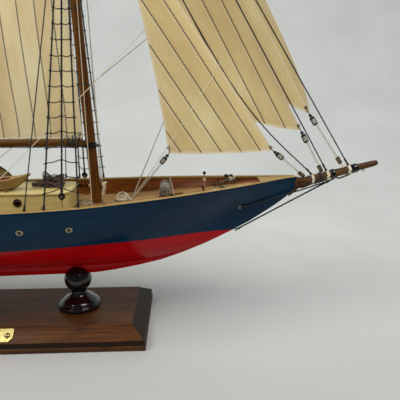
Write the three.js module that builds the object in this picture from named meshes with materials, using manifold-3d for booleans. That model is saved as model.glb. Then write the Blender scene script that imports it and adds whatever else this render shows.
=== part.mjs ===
// Two-masted gaff schooner, a display model on a bevelled board with two turned pedestals.
// Millimetres. X forward (bow), Y to port, Z up. The origin is the middle of the board's underside.
import * as THREE from "three";
import { mergeVertices } from "three/addons/utils/BufferGeometryUtils.js";
import Module from "manifold-3d";

const wasm = await Module();
wasm.setup();

// ---- driving dimensions ----
const GAP = 0.3; // clearance between touching pieces
const BASE_L = 348;
const BASE_W = 105;
const BASE_EDGE = 10.6;
const BASE_TOP = 20.3;
const BASE_BEVEL = 12.5;
const PED_X = 104;
const BALL_R = 13.4;
const BALL_Z = 50.3;
const FOOT_R = 20.5;
const NECK_R = 7.6;
const PLATE_L = 106;
const KEEL_T = 2.3; // half thickness of the keel
const BULWARK_T = 2.3;
const CAP_T = 1.6;
const DECK_T = 1.2;
const WATER_Z = 100;
const POST_X = -216; // after face of the sternpost
const FORE_X = 128; // foremast axis at deck level
const MAIN_X = -74;
const RAKE = Math.tan((2.6 * Math.PI) / 180);
const MAST_Z0 = 125; // level the mast positions are given at
const FORE_HOUNDS = 388;
const FORE_CAP = 432;
const FORE_TRUCK = 596;
const MAIN_HOUNDS = 412;
const MAIN_CAP = 456;
const MAIN_TRUCK = 640;
const BOOM_Z = 186;
const FORE_BOOM_L = 176;
const MAIN_BOOM_L = 340;
const FORE_GAFF_L = 140;
const MAIN_GAFF_L = 205;
const SAIL_T = 0.6;
const ROPE_R = 0.55;

// ---- tables of the hull: [x, value] ----
const RAIL_Z = [
  [-371, 149], [-330, 145.6], [-250, 141.4], [-150, 138.6], [-50, 137.6], [30, 137.8], [82, 138.9],
  [121, 140], [170, 142.8], [228, 146.6], [278, 150], [305, 152.3], [321, 153.4],
];
const RAIL_Y = [
  [-371, 40], [-340, 48.5], [-300, 56], [-230, 63.5], [-150, 67.6], [-60, 69.6], [20, 69.4],
  [82, 66.6], [121, 62], [170, 52.8], [200, 45.4], [228, 36.6], [255, 27], [278, 18.2], [298, 10.2],
  [312, 4.8], [321, 2.4],
];
const WATER_Y = [
  [-371, 26], [-330, 30], [-290, 34], [-240, 42], [-180, 54], [-120, 61], [-60, 63.5], [0, 61],
  [50, 54.5], [86, 49], [117, 42.5], [161, 32], [208, 18.5], [230, 12.5], [255, 7.4], [278, 7],
  [298, 5.2], [312, 3.4], [321, 2.3],
];
const KEEL_Z = [
  [-371, 126.5], [-330, 117.5], [-280, 103.5], [-240, 91.5], [-219, 84], [-217, 54], [-104, 54],
  [27, 54.4], [104, 56], [124, 57], [141, 59.4], [166, 64.2], [188, 69.4], [208, 76.4], [229, 85],
  [244, 92], [259, 99.6], [276, 109], [296, 122], [306, 129.4], [313.5, 135.6], [318, 142], [320.5, 149],
];
const BODY_Z = [
  [-371, 127], [-330, 118], [-280, 104], [-240, 92], [-219, 84.6], [-180, 73], [-130, 65.4], [-104, 63.6],
  [27, 62.8], [104, 64.2], [141, 66], [166, 69], [188, 73], [208, 78.4], [229, 86], [244, 93],
  [259, 100.4], [276, 109.8], [296, 122.8], [306, 130], [313.5, 136], [318, 142.4], [320.5, 149.4],
];
const DECK_Z = [
  [-371, 138], [-330, 134], [-250, 129.6], [-150, 126], [-50, 123.4], [30, 122.6], [82, 123],
  [128, 124.4], [170, 128.4], [200, 132.2], [232, 137], [260, 141.8], [290, 146.8], [312, 149.8], [321, 151],
];
const STATIONS = [
  -370, -368, -366.4, -350, -330, -305, -280, -255, -235, -219, -216, -200, -170, -130, -85, -40, 10,
  60, 95, 125, 150, 172, 192, 210, 226, 241, 254, 267, 280, 292, 302, 309.4, 311.4, 315, 318.4, 320.5,
];

// ---- small maths ----
const V = (x, y, z) => new THREE.Vector3(x, y, z);

function lerpTable(table, x) {
  if (x <= table[0][0]) return table[0][1];
  for (let i = 1; i < table.length; i += 1) {
    if (x <= table[i][0]) {
      const [x0, y0] = table[i - 1];
      const [x1, y1] = table[i];
      return y0 + ((y1 - y0) * (x - x0)) / (x1 - x0);
    }
  }
  return table[table.length - 1][1];
}

// Monotone cubic reading of a table, so that the sheer and the plan are fair curves.
function fair(table, x) {
  const n = table.length;
  if (x <= table[0][0]) return table[0][1];
  if (x >= table[n - 1][0]) return table[n - 1][1];
  let i = 1;
  while (x > table[i][0]) i += 1;
  const chord = (k) => (table[k + 1][1] - table[k][1]) / (table[k + 1][0] - table[k][0]);
  const slope = (k) => {
    if (k <= 0) return chord(0);
    if (k >= n - 1) return chord(n - 2);
    const a = chord(k - 1);
    const b = chord(k);
    return a * b <= 0 ? 0 : (2 * a * b) / (a + b);
  };
  const [x0, y0] = table[i - 1];
  const [x1, y1] = table[i];
  const h = x1 - x0;
  const t = (x - x0) / h;
  const a = slope(i - 1) * h;
  const b = slope(i) * h;
  return y0 + t * (a + t * (3 * (y1 - y0) - 2 * a - b + t * (a + b - 2 * (y1 - y0))));
}

const mastX = (x0, z) => x0 - (z - MAST_Z0) * RAKE;

// ---- meshes ----
// Closed skin through rings of points; every ring has the same count.
function skin(rings, closed = false) {
  const n = rings[0].length;
  const pos = [];
  const idx = [];
  for (const ring of rings) for (const p of ring) pos.push(p.x, p.y, p.z);
  const last = closed ? rings.length : rings.length - 1;
  for (let i = 0; i < last; i += 1) {
    const a0 = i * n;
    const b0 = ((i + 1) % rings.length) * n;
    for (let j = 0; j < n; j += 1) {
      const k = (j + 1) % n;
      idx.push(a0 + j, a0 + k, b0 + k, a0 + j, b0 + k, b0 + j);
    }
  }
  if (!closed) {
    for (const [start, flip] of [[0, true], [(rings.length - 1) * n, false]]) {
      const ring = rings[start / n];
      const [u, w] = flatAxes(ring);
      const flat = ring.map((p) => new THREE.Vector2(p.dot(u), p.dot(w)));
      for (const [a, b, c] of THREE.ShapeUtils.triangulateShape(flat, [])) {
        const tri = [start + a, start + b, start + c];
        idx.push(...(flip ? [tri[0], tri[2], tri[1]] : tri));
      }
    }
  }
  const g = new THREE.BufferGeometry();
  g.setAttribute("position", new THREE.Float32BufferAttribute(pos, 3));
  g.setIndex(idx);
  return outward(g);
}

// Two axes in the plane of a ring, such that the ring's own order is counterclockwise in them.
function flatAxes(ring) {
  const nrm = V(0, 0, 0);
  for (let i = 0; i < ring.length; i += 1) {
    const p = ring[i];
    const q = ring[(i + 1) % ring.length];
    nrm.x += (p.y - q.y) * (p.z + q.z);
    nrm.y += (p.z - q.z) * (p.x + q.x);
    nrm.z += (p.x - q.x) * (p.y + q.y);
  }
  nrm.normalize();
  const u = Math.abs(nrm.x) > 0.9 ? V(0, 1, 0) : V(1, 0, 0);
  u.addScaledVector(nrm, -u.dot(nrm)).normalize();
  return [u, nrm.clone().cross(u)];
}

function volume(g) {
  const p = g.attributes.position;
  const idx = g.index.array;
  let v = 0;
  for (let i = 0; i < idx.length; i += 3) {
    const a = V(p.getX(idx[i]), p.getY(idx[i]), p.getZ(idx[i]));
    const b = V(p.getX(idx[i + 1]), p.getY(idx[i + 1]), p.getZ(idx[i + 1]));
    const c = V(p.getX(idx[i + 2]), p.getY(idx[i + 2]), p.getZ(idx[i + 2]));
    v += a.dot(b.cross(c)) / 6;
  }
  return v;
}

function outward(g) {
  if (volume(g) < 0) {
    const idx = g.index.array;
    for (let i = 0; i < idx.length; i += 3) {
      const t = idx[i + 1];
      idx[i + 1] = idx[i + 2];
      idx[i + 2] = t;
    }
  }
  return g;
}

function welded(g) {
  const c = g.clone();
  c.deleteAttribute("normal");
  c.deleteAttribute("uv");
  return c.index ? mergeVertices(c, 1e-4) : mergeVertices(c, 1e-4);
}

function toSolid(g) {
  const m = welded(g);
  const mesh = new wasm.Mesh({
    numProp: 3,
    vertProperties: new Float32Array(m.attributes.position.array),
    triVerts: new Uint32Array(m.index.array),
  });
  mesh.merge();
  return new wasm.Manifold(mesh);
}

function fromSolid(s) {
  const m = s.getMesh();
  const g = new THREE.BufferGeometry();
  g.setAttribute("position", new THREE.Float32BufferAttribute(Array.from(m.vertProperties), 3));
  g.setIndex(Array.from(m.triVerts));
  return mergeVertices(g, 1e-4);
}

const unite = (...gs) => fromSolid(wasm.Manifold.union(gs.map(toSolid)));
const cut = (g, ...tools) => fromSolid(tools.reduce((s, t) => s.subtract(toSolid(t)), toSolid(g)));

// A round bar through points; r is one radius or one for each point.
function bar(points, r, sides = 8, squash = 1) {
  const at = (i) => (Array.isArray(r) ? r[i] : r);
  const dir = (i) => {
    const a = points[Math.max(i - 1, 0)];
    const b = points[Math.min(i + 1, points.length - 1)];
    return b.clone().sub(a).normalize();
  };
  let u = Math.abs(dir(0).z) > 0.8 ? V(1, 0, 0) : V(0, 0, 1);
  const rings = points.map((p, i) => {
    const d = dir(i);
    u = u.clone().addScaledVector(d, -u.dot(d)).normalize();
    const w = d.clone().cross(u);
    const ring = [];
    for (let k = 0; k < sides; k += 1) {
      const t = ((k + 0.5) * 2 * Math.PI) / sides;
      const q = p.clone().addScaledVector(u, at(i) * Math.cos(t));
      ring.push(q.addScaledVector(w, at(i) * squash * Math.sin(t)));
    }
    return ring;
  });
  return skin(rings);
}

const rope = (a, b, r = ROPE_R, sides = 5) => bar([a, b], r, sides);

function box(x0, x1, y0, y1, z0, z1) {
  const g = new THREE.BoxGeometry(x1 - x0, y1 - y0, z1 - z0);
  g.translate((x0 + x1) / 2, (y0 + y1) / 2, (z0 + z1) / 2);
  return welded(g);
}

// Turned piece about +Z from [radius, z] pairs that start and end on the axis.
function turned(profile, seg = 16) {
  const g = new THREE.LatheGeometry(profile.map(([r, z]) => new THREE.Vector2(r, z)), seg);
  g.rotateX(Math.PI / 2);
  return outward(welded(g));
}

// Ring with a rectangular section about +Z.
function band(rIn, rOut, z0, z1, seg = 14) {
  const pts = [[rIn, z0], [rOut, z0], [rOut, z1], [rIn, z1]];
  const rings = [];
  for (let i = 0; i < seg; i += 1) {
    const t = (i * 2 * Math.PI) / seg;
    rings.push(pts.map(([r, z]) => V(r * Math.cos(t), r * Math.sin(t), z)));
  }
  return skin(rings, true);
}

function placed(g, x, y, z, tilt = 0) {
  const c = g.clone();
  if (tilt) c.rotateY(tilt);
  c.translate(x, y, z);
  return c;
}

// Slab with rounded plan corners between two levels.
function slab(x0, x1, y0, y1, z0, z1, r = 3, steps = 3) {
  const plan = [];
  const mids = [
    [x1 - r, y1 - r, 0], [x0 + r, y1 - r, 90], [x0 + r, y0 + r, 180], [x1 - r, y0 + r, 270],
  ];
  for (const [cx, cy, a0] of mids) {
    for (let i = 0; i <= steps; i += 1) {
      const t = ((a0 + (90 * i) / steps) * Math.PI) / 180;
      plan.push([cx + r * Math.cos(t), cy + r * Math.sin(t)]);
    }
  }
  return skin([z0, z1].map((z) => plan.map(([x, y]) => V(x, y, z))));
}

// ---- materials ----
const MATS = {
  navy: [0x0b1b33, 0.18, 0],
  walnut: [0x4a2c18, 0.35, 0],
  black: [0x111111, 0.2, 0],
  brass: [0xc9a24a, 0.3, 0.9],
  cream: [0xcdb98a, 0.5, 0],
  deck: [0xb08a50, 0.55, 0],
  pale: [0xc8b573, 0.5, 0],
  mast: [0x57321a, 0.4, 0],
  sail: [0xdccba6, 0.85, 0],
  cord: [0x141210, 0.8, 0],
  pewter: [0x77756c, 0.45, 0.8],
  dory: [0xb79a62, 0.55, 0],
};

const group = new THREE.Group();
group.name = "gaff_schooner_display_model";

function add(name, g, mat) {
  const [color, roughness, metalness] = MATS[mat];
  const m = new THREE.MeshStandardMaterial({ color, roughness, metalness, flatShading: false });
  m.name = `${name}_${mat}`;
  const clean = welded(g).toNonIndexed();
  clean.computeVertexNormals();
  const mesh = new THREE.Mesh(clean, m);
  mesh.name = name;
  group.add(mesh);
}

// ---- stand ----
function baseBoard() {
  const ring = (z, inset) => {
    const x = BASE_L / 2 - inset;
    const y = BASE_W / 2 - inset;
    return [V(x, y, z), V(-x, y, z), V(-x, -y, z), V(x, -y, z)];
  };
  return skin([
    ring(0, 0.8), ring(0.8, 0), ring(4.6, 0), ring(5.2, 0.7), ring(BASE_EDGE, 0.7),
    ring(BASE_TOP - 1.2, BASE_BEVEL), ring(BASE_TOP, BASE_BEVEL + 0.9),
  ]);
}

function pedestal(x, slotZ) {
  const z0 = BASE_TOP + GAP;
  const profile = [
    [0, z0], [FOOT_R, z0], [FOOT_R, z0 + 3.2], [FOOT_R - 1.6, z0 + 4.8], [17.2, z0 + 6.9],
    [14.6, z0 + 9.2], [10.6, z0 + 12], [8.4, z0 + 14.2], [NECK_R, z0 + 16.4],
  ];
  for (const a of [-53, -24, 8, 40, 68]) {
    const t = (a * Math.PI) / 180;
    profile.push([BALL_R * Math.cos(t), BALL_Z + BALL_R * Math.sin(t)]);
  }
  profile.push([0, BALL_Z + BALL_R]);
  const half = KEEL_T + GAP + 0.15;
  const slot = box(-20, 20, -half, half, slotZ, 80);
  return placed(cut(turned(profile, 20), slot), x, 0, 0);
}

const slope = Math.atan2(BASE_TOP - 1.2 - BASE_EDGE, BASE_BEVEL - 0.7);
const bevelAt = (along, off) => {
  // along: distance up the front bevel from its lower edge; off: distance out of it
  const y = -BASE_W / 2 + 0.7 + along * Math.cos(slope) - off * Math.sin(slope);
  const z = BASE_EDGE + along * Math.sin(slope) + off * Math.cos(slope);
  return [y, z];
};

function namePlate() {
  const h = 12.4;
  const c = 3.2;
  const xs = PLATE_L / 2;
  const outline = [
    [xs - c, 0.9], [xs - 0.9, 0.9 + c * 0.75], [xs, 0.9 + c], [xs, h], [xs - 1, h + 1],
    [-xs + 1, h + 1], [-xs, h], [-xs, 0.9 + c], [-xs + 0.9, 0.9 + c * 0.75], [-xs + c, 0.9],
  ];
  const ring = (off) => outline.map(([x, s]) => {
    const [y, z] = bevelAt(s + 0.6, off);
    return V(x, y, z);
  });
  return skin([ring(GAP), ring(GAP + 0.9)]);
}

function plateScrew(x) {
  const g = turned([[0, 0], [2.3, 0], [2.5, 0.5], [1.9, 1.2], [0, 1.5]], 12);
  g.rotateX(slope);
  const [y, z] = bevelAt(7.3, 2 * GAP + 0.9);
  g.translate(x, y, z);
  return g;
}

add("base_board", baseBoard(), "walnut");
add("pedestal_fore", pedestal(PED_X, lerpTable(KEEL_Z, PED_X) - GAP), "black");
add("pedestal_aft", pedestal(-PED_X, lerpTable(KEEL_Z, -PED_X) - GAP), "black");
add("nameplate", namePlate(), "brass");
add("nameplate_screw_fore", plateScrew(PLATE_L / 2 - 5), "brass");
add("nameplate_screw_aft", plateScrew(-PLATE_L / 2 + 5), "brass");

// ---- hull ----
// Half breadth of the outside of the hull at station x and height z.
function halfBreadth(x, z) {
  const top = fair(RAIL_Z, x);
  const low = lerpTable(BODY_Z, x);
  const yTop = fair(RAIL_Y, x);
  const k = Math.min(KEEL_T, yTop);
  if (z <= low) return k;
  const zMid = Math.max(WATER_Z, low + 0.4 * (top - low));
  const yMid = Math.min(fair(WATER_Y, x), yTop);
  const below = (yMid - k) / (zMid - low);
  const above = (yTop - yMid) / (top - zMid);
  const mid = below + above > 0 ? (2 * below * above) / (below + above) : 0;
  return fair3([low, k, 1.7 * below], [zMid, yMid, Math.max(mid, 0)], [top, yTop, 0.7 * above], z);
}

function fair3(a, b, c, z) {
  const [p, q] = z <= b[0] ? [a, b] : [b, c];
  const h = q[0] - p[0];
  const t = Math.min(Math.max((z - p[0]) / h, 0), 1);
  const m0 = p[2] * h;
  const m1 = q[2] * h;
  const d = q[1] - p[1];
  return p[1] + t * (m0 + t * (3 * d - 2 * m0 - m1 + t * (m0 + m1 - 2 * d)));
}

const hullTop = (x) => fair(RAIL_Z, x) - CAP_T - GAP;
const insideY = (x, z) => Math.max(halfBreadth(x, z) - BULWARK_T, 0.35);
const deckTop = (x, y) => {
  const w = Math.max(fair(RAIL_Y, x), 6);
  return fair(DECK_Z, x) + 1.6 * (1 - (y / w) ** 2);
};
const floorAt = (x, y) => deckTop(x, y) - DECK_T - GAP;

function hullRing(x) {
  const keel = lerpTable(KEEL_Z, x);
  const body = Math.max(lerpTable(BODY_Z, x), keel + 0.2);
  const top = hullTop(x);
  const solid = x < -367 || x > 310.5;
  const half = [];
  half.push([Math.max(KEEL_T - 0.8, 0.6), keel]);
  half.push([KEEL_T, keel + Math.min(1, (body - keel) * 0.5)]);
  half.push([KEEL_T, body]);
  for (const t of [0.06, 0.16, 0.28, 0.42, 0.56, 0.7, 0.85, 1]) {
    const z = body + (top - body) * t;
    half.push([halfBreadth(x, z), z]);
  }
  const yIn = insideY(x, top);
  const yLow = Math.max(Math.min(insideY(x, floorAt(x, yIn)), yIn), 0.3);
  half.push([yIn, top]);
  half.push(solid ? [yIn * 0.8, top] : [yLow, floorAt(x, yLow)]);
  half.push(solid ? [yIn * 0.4, top] : [yLow * 0.55, floorAt(x, yLow * 0.55)]);
  const port = half.map(([y, z]) => V(x, y, z));
  const mid = V(x, 0, solid ? top : floorAt(x, 0));
  const starboard = half.map(([y, z]) => V(x, -y, z)).reverse();
  return [...port, mid, ...starboard];
}

function deckPlate() {
  const xs = [-366 + GAP, ...STATIONS.filter((x) => x > -360 && x < 300 && x !== -219), 306];
  return skin(xs.map((x) => {
    const w = Math.max(Math.min(insideY(x, floorAt(x, 60)), insideY(x, hullTop(x))) - 0.45, 0.5);
    const cols = [1, 0.55, 0, -0.55, -1];
    const up = cols.map((c) => V(x, c * w, deckTop(x, c * w)));
    const dn = cols.map((c) => V(x, c * w, deckTop(x, c * w) - DECK_T)).reverse();
    return [...up, ...dn];
  }));
}

function capRail(side, x0, x1) {
  const xs = STATIONS.filter((x) => x > x0 + 3 && x < x1 - 1);
  return skin([x0, ...xs, x1].map((x) => {
    const z = fair(RAIL_Z, x);
    const out = halfBreadth(x, z) + 0.8;
    const inn = Math.max(out - 4.4, 0.35);
    return [
      V(x, side * out, z - CAP_T), V(x, side * out, z), V(x, side * inn, z), V(x, side * inn, z - CAP_T),
    ];
  }));
}

function taffRail() {
  // across the stern: a flat rail between the two side rails
  const z = fair(RAIL_Z, -369.5);
  const w = halfBreadth(-366, z) + 0.6;
  const plan = [];
  for (let i = 0; i <= 8; i += 1) {
    const t = -1 + i / 4;
    plan.push([-370.8 - 1.4 * (1 - t * t), t * w]);
  }
  for (let i = 8; i >= 0; i -= 1) {
    const t = -1 + i / 4;
    plan.push([-366.4, t * w]);
  }
  return skin([z - CAP_T, z].map((zz) => plan.map(([x, y]) => V(x, y, zz))));
}

const hullRings = STATIONS.map(hullRing);
add("hull", skin(hullRings), "navy");
add("deck", deckPlate(), "deck");
add("caprail_starboard", capRail(-1, -366, 319.6), "cream");
add("caprail_port", capRail(1, -366, 319.6), "cream");
add("caprail_stern", taffRail(), "cream");

// Rudder: blade behind the sternpost, stock going up towards the counter.
function rudder() {
  const x = POST_X - 5;
  const blade = skin([
    [55, 0, -25], [60, 0, -29], [76, 0, -26], [82.6, 0, -15],
  ].map(([z, a, b]) => [
    V(x + a, 1.6, z), V(x + b, 0.7, z), V(x + b, -0.7, z), V(x + a, -1.6, z),
  ]));
  const stock = bar([V(x - 1.2, 0, 54.6), V(x - 1.2, 0, 83)], 1.9, 10);
  return unite(blade, stock);
}
add("rudder", rudder(), "navy");

// ---- bowsprit and its gear ----
const SPRIT_A = V(322.8, 0, 146.3);
const SPRIT_B = V(398, 0, 165.4);
const sprit = (t) => SPRIT_A.clone().lerp(SPRIT_B, t);
add(
  "bowsprit",
  bar([sprit(0), sprit(0.05), sprit(0.5), sprit(0.95), sprit(1)], [3.5, 4, 3.8, 2.9, 2.3], 12),
  "mast",
);

function spritBand(t, rIn, half) {
  const g = band(rIn + GAP, rIn + 1.1, -half, half, 14);
  const q = new THREE.Quaternion().setFromUnitVectors(V(0, 0, 1), sprit(1).sub(sprit(0)).normalize());
  g.applyQuaternion(q);
  const p = sprit(t);
  g.translate(p.x, p.y, p.z);
  return g;
}
add("bowsprit_band_inner", spritBand(0.43, 3.85, 1.8), "cord");
add("bowsprit_band_outer", spritBand(0.7, 3.55, 3.4), "cord");
const under = sprit(0.37).add(V(0, 0, -6.6));
const heel = V(263.2, 0, 99.6);
add("bobstay", bar([sprit(0.655).add(V(0, 0, -5)), under, heel], 0.6, 6), "cord");
for (const [side, name] of [
  [-1, "starboard"],
  [1, "port"],
]) {
  const onBow = V(264.5, side * (halfBreadth(264.5, 124.5) + 1.1), 124.5);
  add(`bowsprit_shroud_${name}`, rope(sprit(0.35).add(V(0, side * 2.6, -5.6)), onBow, 0.5), "cord");
}

// ---- masts ----
function lowerMast(x0, z0, zTop, r) {
  const ps = [z0, z0 + 30, (z0 + zTop) / 2, zTop].map((z) => V(mastX(x0, z), 0, z));
  return bar(ps, [r, r, r * 0.95, r * 0.78], 12);
}
const TOP_SET = 6.6; // topmast stands this far ahead of the lower mast's head
function topMast(x0, z0, zTop) {
  const ps = [z0, zTop - 60, zTop - 4, zTop].map((z) => V(mastX(x0, z) + TOP_SET, 0, z));
  return bar(ps, [2.7, 2.1, 1.5, 0.7], 10);
}
function crossTree(x0, z) {
  const x = mastX(x0, z);
  const hole = bar([V(mastX(x0, z - 6), 0, z - 6), V(mastX(x0, z + 6), 0, z + 6)], 4.4, 12);
  const hole2 = bar([V(mastX(x0, z - 6) + TOP_SET, 0, z - 6), V(mastX(x0, z + 6) + TOP_SET, 0, z + 6)], 3.05, 10);
  const frame = unite(
    box(x - 7, x + 12, -5.6, 5.6, z - 1.6, z + 0.4),
    box(x - 5, x - 2.6, -17, 17, z - 1, z + 1),
    box(x + 9.4, x + 11.6, -17, 17, z - 1, z + 1),
  );
  return cut(frame, hole, hole2);
}
function mastCap(x0, z) {
  const x = mastX(x0, z);
  const hole = bar([V(mastX(x0, z - 6), 0, z - 6), V(mastX(x0, z + 6), 0, z + 6)], 3.95, 12);
  const hole2 = bar([V(mastX(x0, z - 6) + TOP_SET, 0, z - 6), V(mastX(x0, z + 6) + TOP_SET, 0, z + 6)], 3.05, 10);
  return cut(slab(x - 5.6, x + TOP_SET + 4.8, -4.8, 4.8, z - 1.6, z + 1.6, 3), hole, hole2);
}
for (const [name, x0, hounds, cap, truck, r] of [
  ["fore", FORE_X, FORE_HOUNDS, FORE_CAP, FORE_TRUCK, 4.7],
  ["main", MAIN_X, MAIN_HOUNDS, MAIN_CAP, MAIN_TRUCK, 4.9],
]) {
  add(`${name}mast`, lowerMast(x0, deckTop(x0, 0) + 2 * GAP, cap + 3, r), "mast");
  add(`${name}_topmast`, topMast(x0, hounds - 4, truck), "mast");
  add(`${name}_crosstrees`, crossTree(x0, hounds), "mast");
  const ringZ = BOOM_Z + (name === "main" ? -14 : 0);
  const collar = placed(band(r + 0.15, r + 2, -4.4, 4.4, 16), mastX(x0, ringZ), 0, ringZ, -Math.atan(RAKE));
  add(`${name}_boom_collar`, collar, "cord");
}

// ---- booms, gaffs and their sails ----
const FORE_GAFF_Z = 336;
const MAIN_GAFF_Z = 372;
const RISE = { fore: Math.tan((29 * Math.PI) / 180), main: Math.tan((33 * Math.PI) / 180) };
function spar(x0, z, len, rise, r0, r1, set) {
  const x = mastX(x0, z) - set;
  const p = [0, 0.06, 0.5, 1].map((t) => V(x - len * t, 0, z + rise * len * t));
  return bar(p, [r0 * 0.8, r0, (r0 + r1) / 2 + 0.3, r1], 10);
}
function jaws(x0, z, set, r) {
  const x = mastX(x0, z);
  const plate = slab(x - set - 5, x + 3, -r - 2.4, r + 2.4, z - 1.1, z + 1.1, 2.2, 2);
  const bore = bar([V(mastX(x0, z - 4), 0, z - 4), V(mastX(x0, z + 4), 0, z + 4)], r + 0.5, 14);
  const mouth = box(x, x + 12, -r - 0.5, r + 0.5, z - 4, z + 4);
  return cut(plate, bore, mouth);
}

// A thin set sail between four corners, bellied to starboard (towards -Y).
function sail(corner, belly, n = 7, m = 8) {
  // corner: [tack, clew, peak, throat]; u runs aft along the foot, v up the luff
  const [a, b, c, d] = corner;
  const mid = (u, v, off) => {
    const p = a.clone().multiplyScalar((1 - u) * (1 - v));
    p.addScaledVector(b, u * (1 - v)).addScaledVector(c, u * v).addScaledVector(d, (1 - u) * v);
    const bow = belly * 4 * u * (1 - u) * (0.35 + 1.3 * v * (1 - v) * 2);
    p.y -= bow * Math.min(1, 6 * Math.min(v + 0.02, 1.02 - v)) + off;
    return p;
  };
  return sheet((i, j, off) => mid(i / n, j / m, off), n, m);
}

function sheet(at, n, m) {
  const rings = [];
  for (let j = 0; j <= m; j += 1) {
    const ring = [];
    for (let i = 0; i <= n; i += 1) ring.push(at(i, j, SAIL_T / 2));
    for (let i = n; i >= 0; i -= 1) ring.push(at(i, j, -SAIL_T / 2));
    rings.push(ring);
  }
  return skinStrip(rings);
}

// Like skin, but closes each end as a strip, with both faces split along the same diagonals.
function skinStrip(rings) {
  const n = rings[0].length;
  const pos = [];
  const idx = [];
  for (const ring of rings) for (const p of ring) pos.push(p.x, p.y, p.z);
  for (let i = 0; i < rings.length - 1; i += 1) {
    for (let j = 0; j < n; j += 1) {
      const [p, q] = [i * n + j, i * n + ((j + 1) % n)];
      const [pp, qq] = [p + n, q + n];
      idx.push(...(j < n / 2 ? [p, q, qq, p, qq, pp] : [p, q, pp, q, qq, pp]));
    }
  }
  for (const [s, flip] of [[0, true], [(rings.length - 1) * n, false]]) {
    for (let j = 0; j < n / 2 - 1; j += 1) {
      const a = s + j;
      const b = s + j + 1;
      const c = s + n - 2 - j;
      const d = s + n - 1 - j;
      idx.push(...(flip ? [a, c, b, a, d, c] : [a, b, c, a, c, d]));
    }
  }
  const g = new THREE.BufferGeometry();
  g.setAttribute("position", new THREE.Float32BufferAttribute(pos, 3));
  g.setIndex(idx);
  return outward(g);
}

const SET = 7.4; // boom and gaff ends stand this far aft of the mast axis
function gaffRig(name, x0, boomZ, boomL, gaffZ, gaffL, belly) {
  const r = name === "fore" ? 4.7 : 4.9;
  add(`${name}_boom`, spar(x0, boomZ, boomL, 0, 3.7, 2.8, SET), "mast");
  const rise = RISE[name];
  const gaffBar = spar(x0, gaffZ, gaffL, rise, 2.9, 2, SET - 0.9);
  add(`${name}_gaff`, unite(gaffBar, jaws(x0, gaffZ, SET, r)), "mast");
  const dz = 4.6;
  const luff = SET - 0.6;
  const zB = boomZ + dz;
  const zT = gaffZ - dz - 1.2;
  const tack = V(mastX(x0, zB) - luff, 0, zB);
  const throat = V(mastX(x0, zT) - luff, 0, zT);
  const peakL = gaffL - 9;
  const peak = V(mastX(x0, gaffZ) - luff - peakL, 0, gaffZ + peakL * rise - dz - 1);
  const clew = V(mastX(x0, zB) - boomL + 9, 0, zB);
  return sail([tack, clew, peak, throat], belly);
}
add("foresail", gaffRig("fore", FORE_X, BOOM_Z, FORE_BOOM_L, FORE_GAFF_Z, FORE_GAFF_L, 9), "sail");
add("mainsail", gaffRig("main", MAIN_X, BOOM_Z - 14, MAIN_BOOM_L, MAIN_GAFF_Z, MAIN_GAFF_L, 16), "sail");

// Three headsails. Each is a triangle from tack, clew and head, bellied to starboard.
// hollow moves the leech forward, roach moves the luff forward and foot drops the foot.
function headSail(tack, clew, head, belly, hollow, roach, foot, n = 6, m = 9) {
  const at = (i, j, off) => {
    const u = i / n;
    const v = 0.985 * (j / m);
    const p = tack.clone().lerp(clew, u).lerp(head, v);
    const wide = Math.sin(Math.PI * Math.pow(u, 0.8)) * (1 - v * 0.3);
    p.x += hollow * Math.sin(Math.PI * v) * u;
    p.x += roach * Math.sin(Math.PI * Math.pow(v, 0.6)) * (1 - u);
    p.z -= u * (1 - u) * 4 * foot * Math.pow(1 - v, 2);
    p.y -= belly * wide * Math.sin(Math.PI * (0.12 + 0.88 * v)) + off;
    return p;
  };
  return sheet(at, n, m);
}
const HEADS = {
  fore_staysail: [V(295, -1.8, 178.2), V(198, -8, 177), V(153, -1.8, 387), 5, 4, 0, 1],
  jib: [V(321.6, 1.8, 196.8), V(208, 9, 240), V(141, 1.8, 522), -5, 3, 0, 9.2],
  flying_jib: [V(328.4, 2.4, 212.6), V(211, 16, 319), V(151, 2.4, 522), -5, 2, 11, 16],
};
for (const [name, h] of Object.entries(HEADS)) add(name, headSail(...h), "sail");

// ---- standing rigging ----
const foreTopX = (z) => mastX(FORE_X, z) + TOP_SET;
const top = (t, lift) => sprit(t).add(V(0, 0, lift));
const STAYS = {
  fore_stay: [top(0.155, 4.9), V(252, 0.4, 243), V(foreTopX(466) + 3.2, 0, 466)],
  jib_stay: [top(0.345, 4.8), V(foreTopX(540) + 3, 0, 540)],
  flying_jib_stay: [top(0.625, 4.6), V(foreTopX(551) + 3, 0, 551)],
  spring_stay: [V(mastX(FORE_X, 430) - 4.7, 0, 430), V(mastX(MAIN_X, 430) + TOP_SET + 3.4, 0, 430)],
};
for (const [name, path] of Object.entries(STAYS)) add(name, bar(path, 0.6, 5), "cord");

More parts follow.
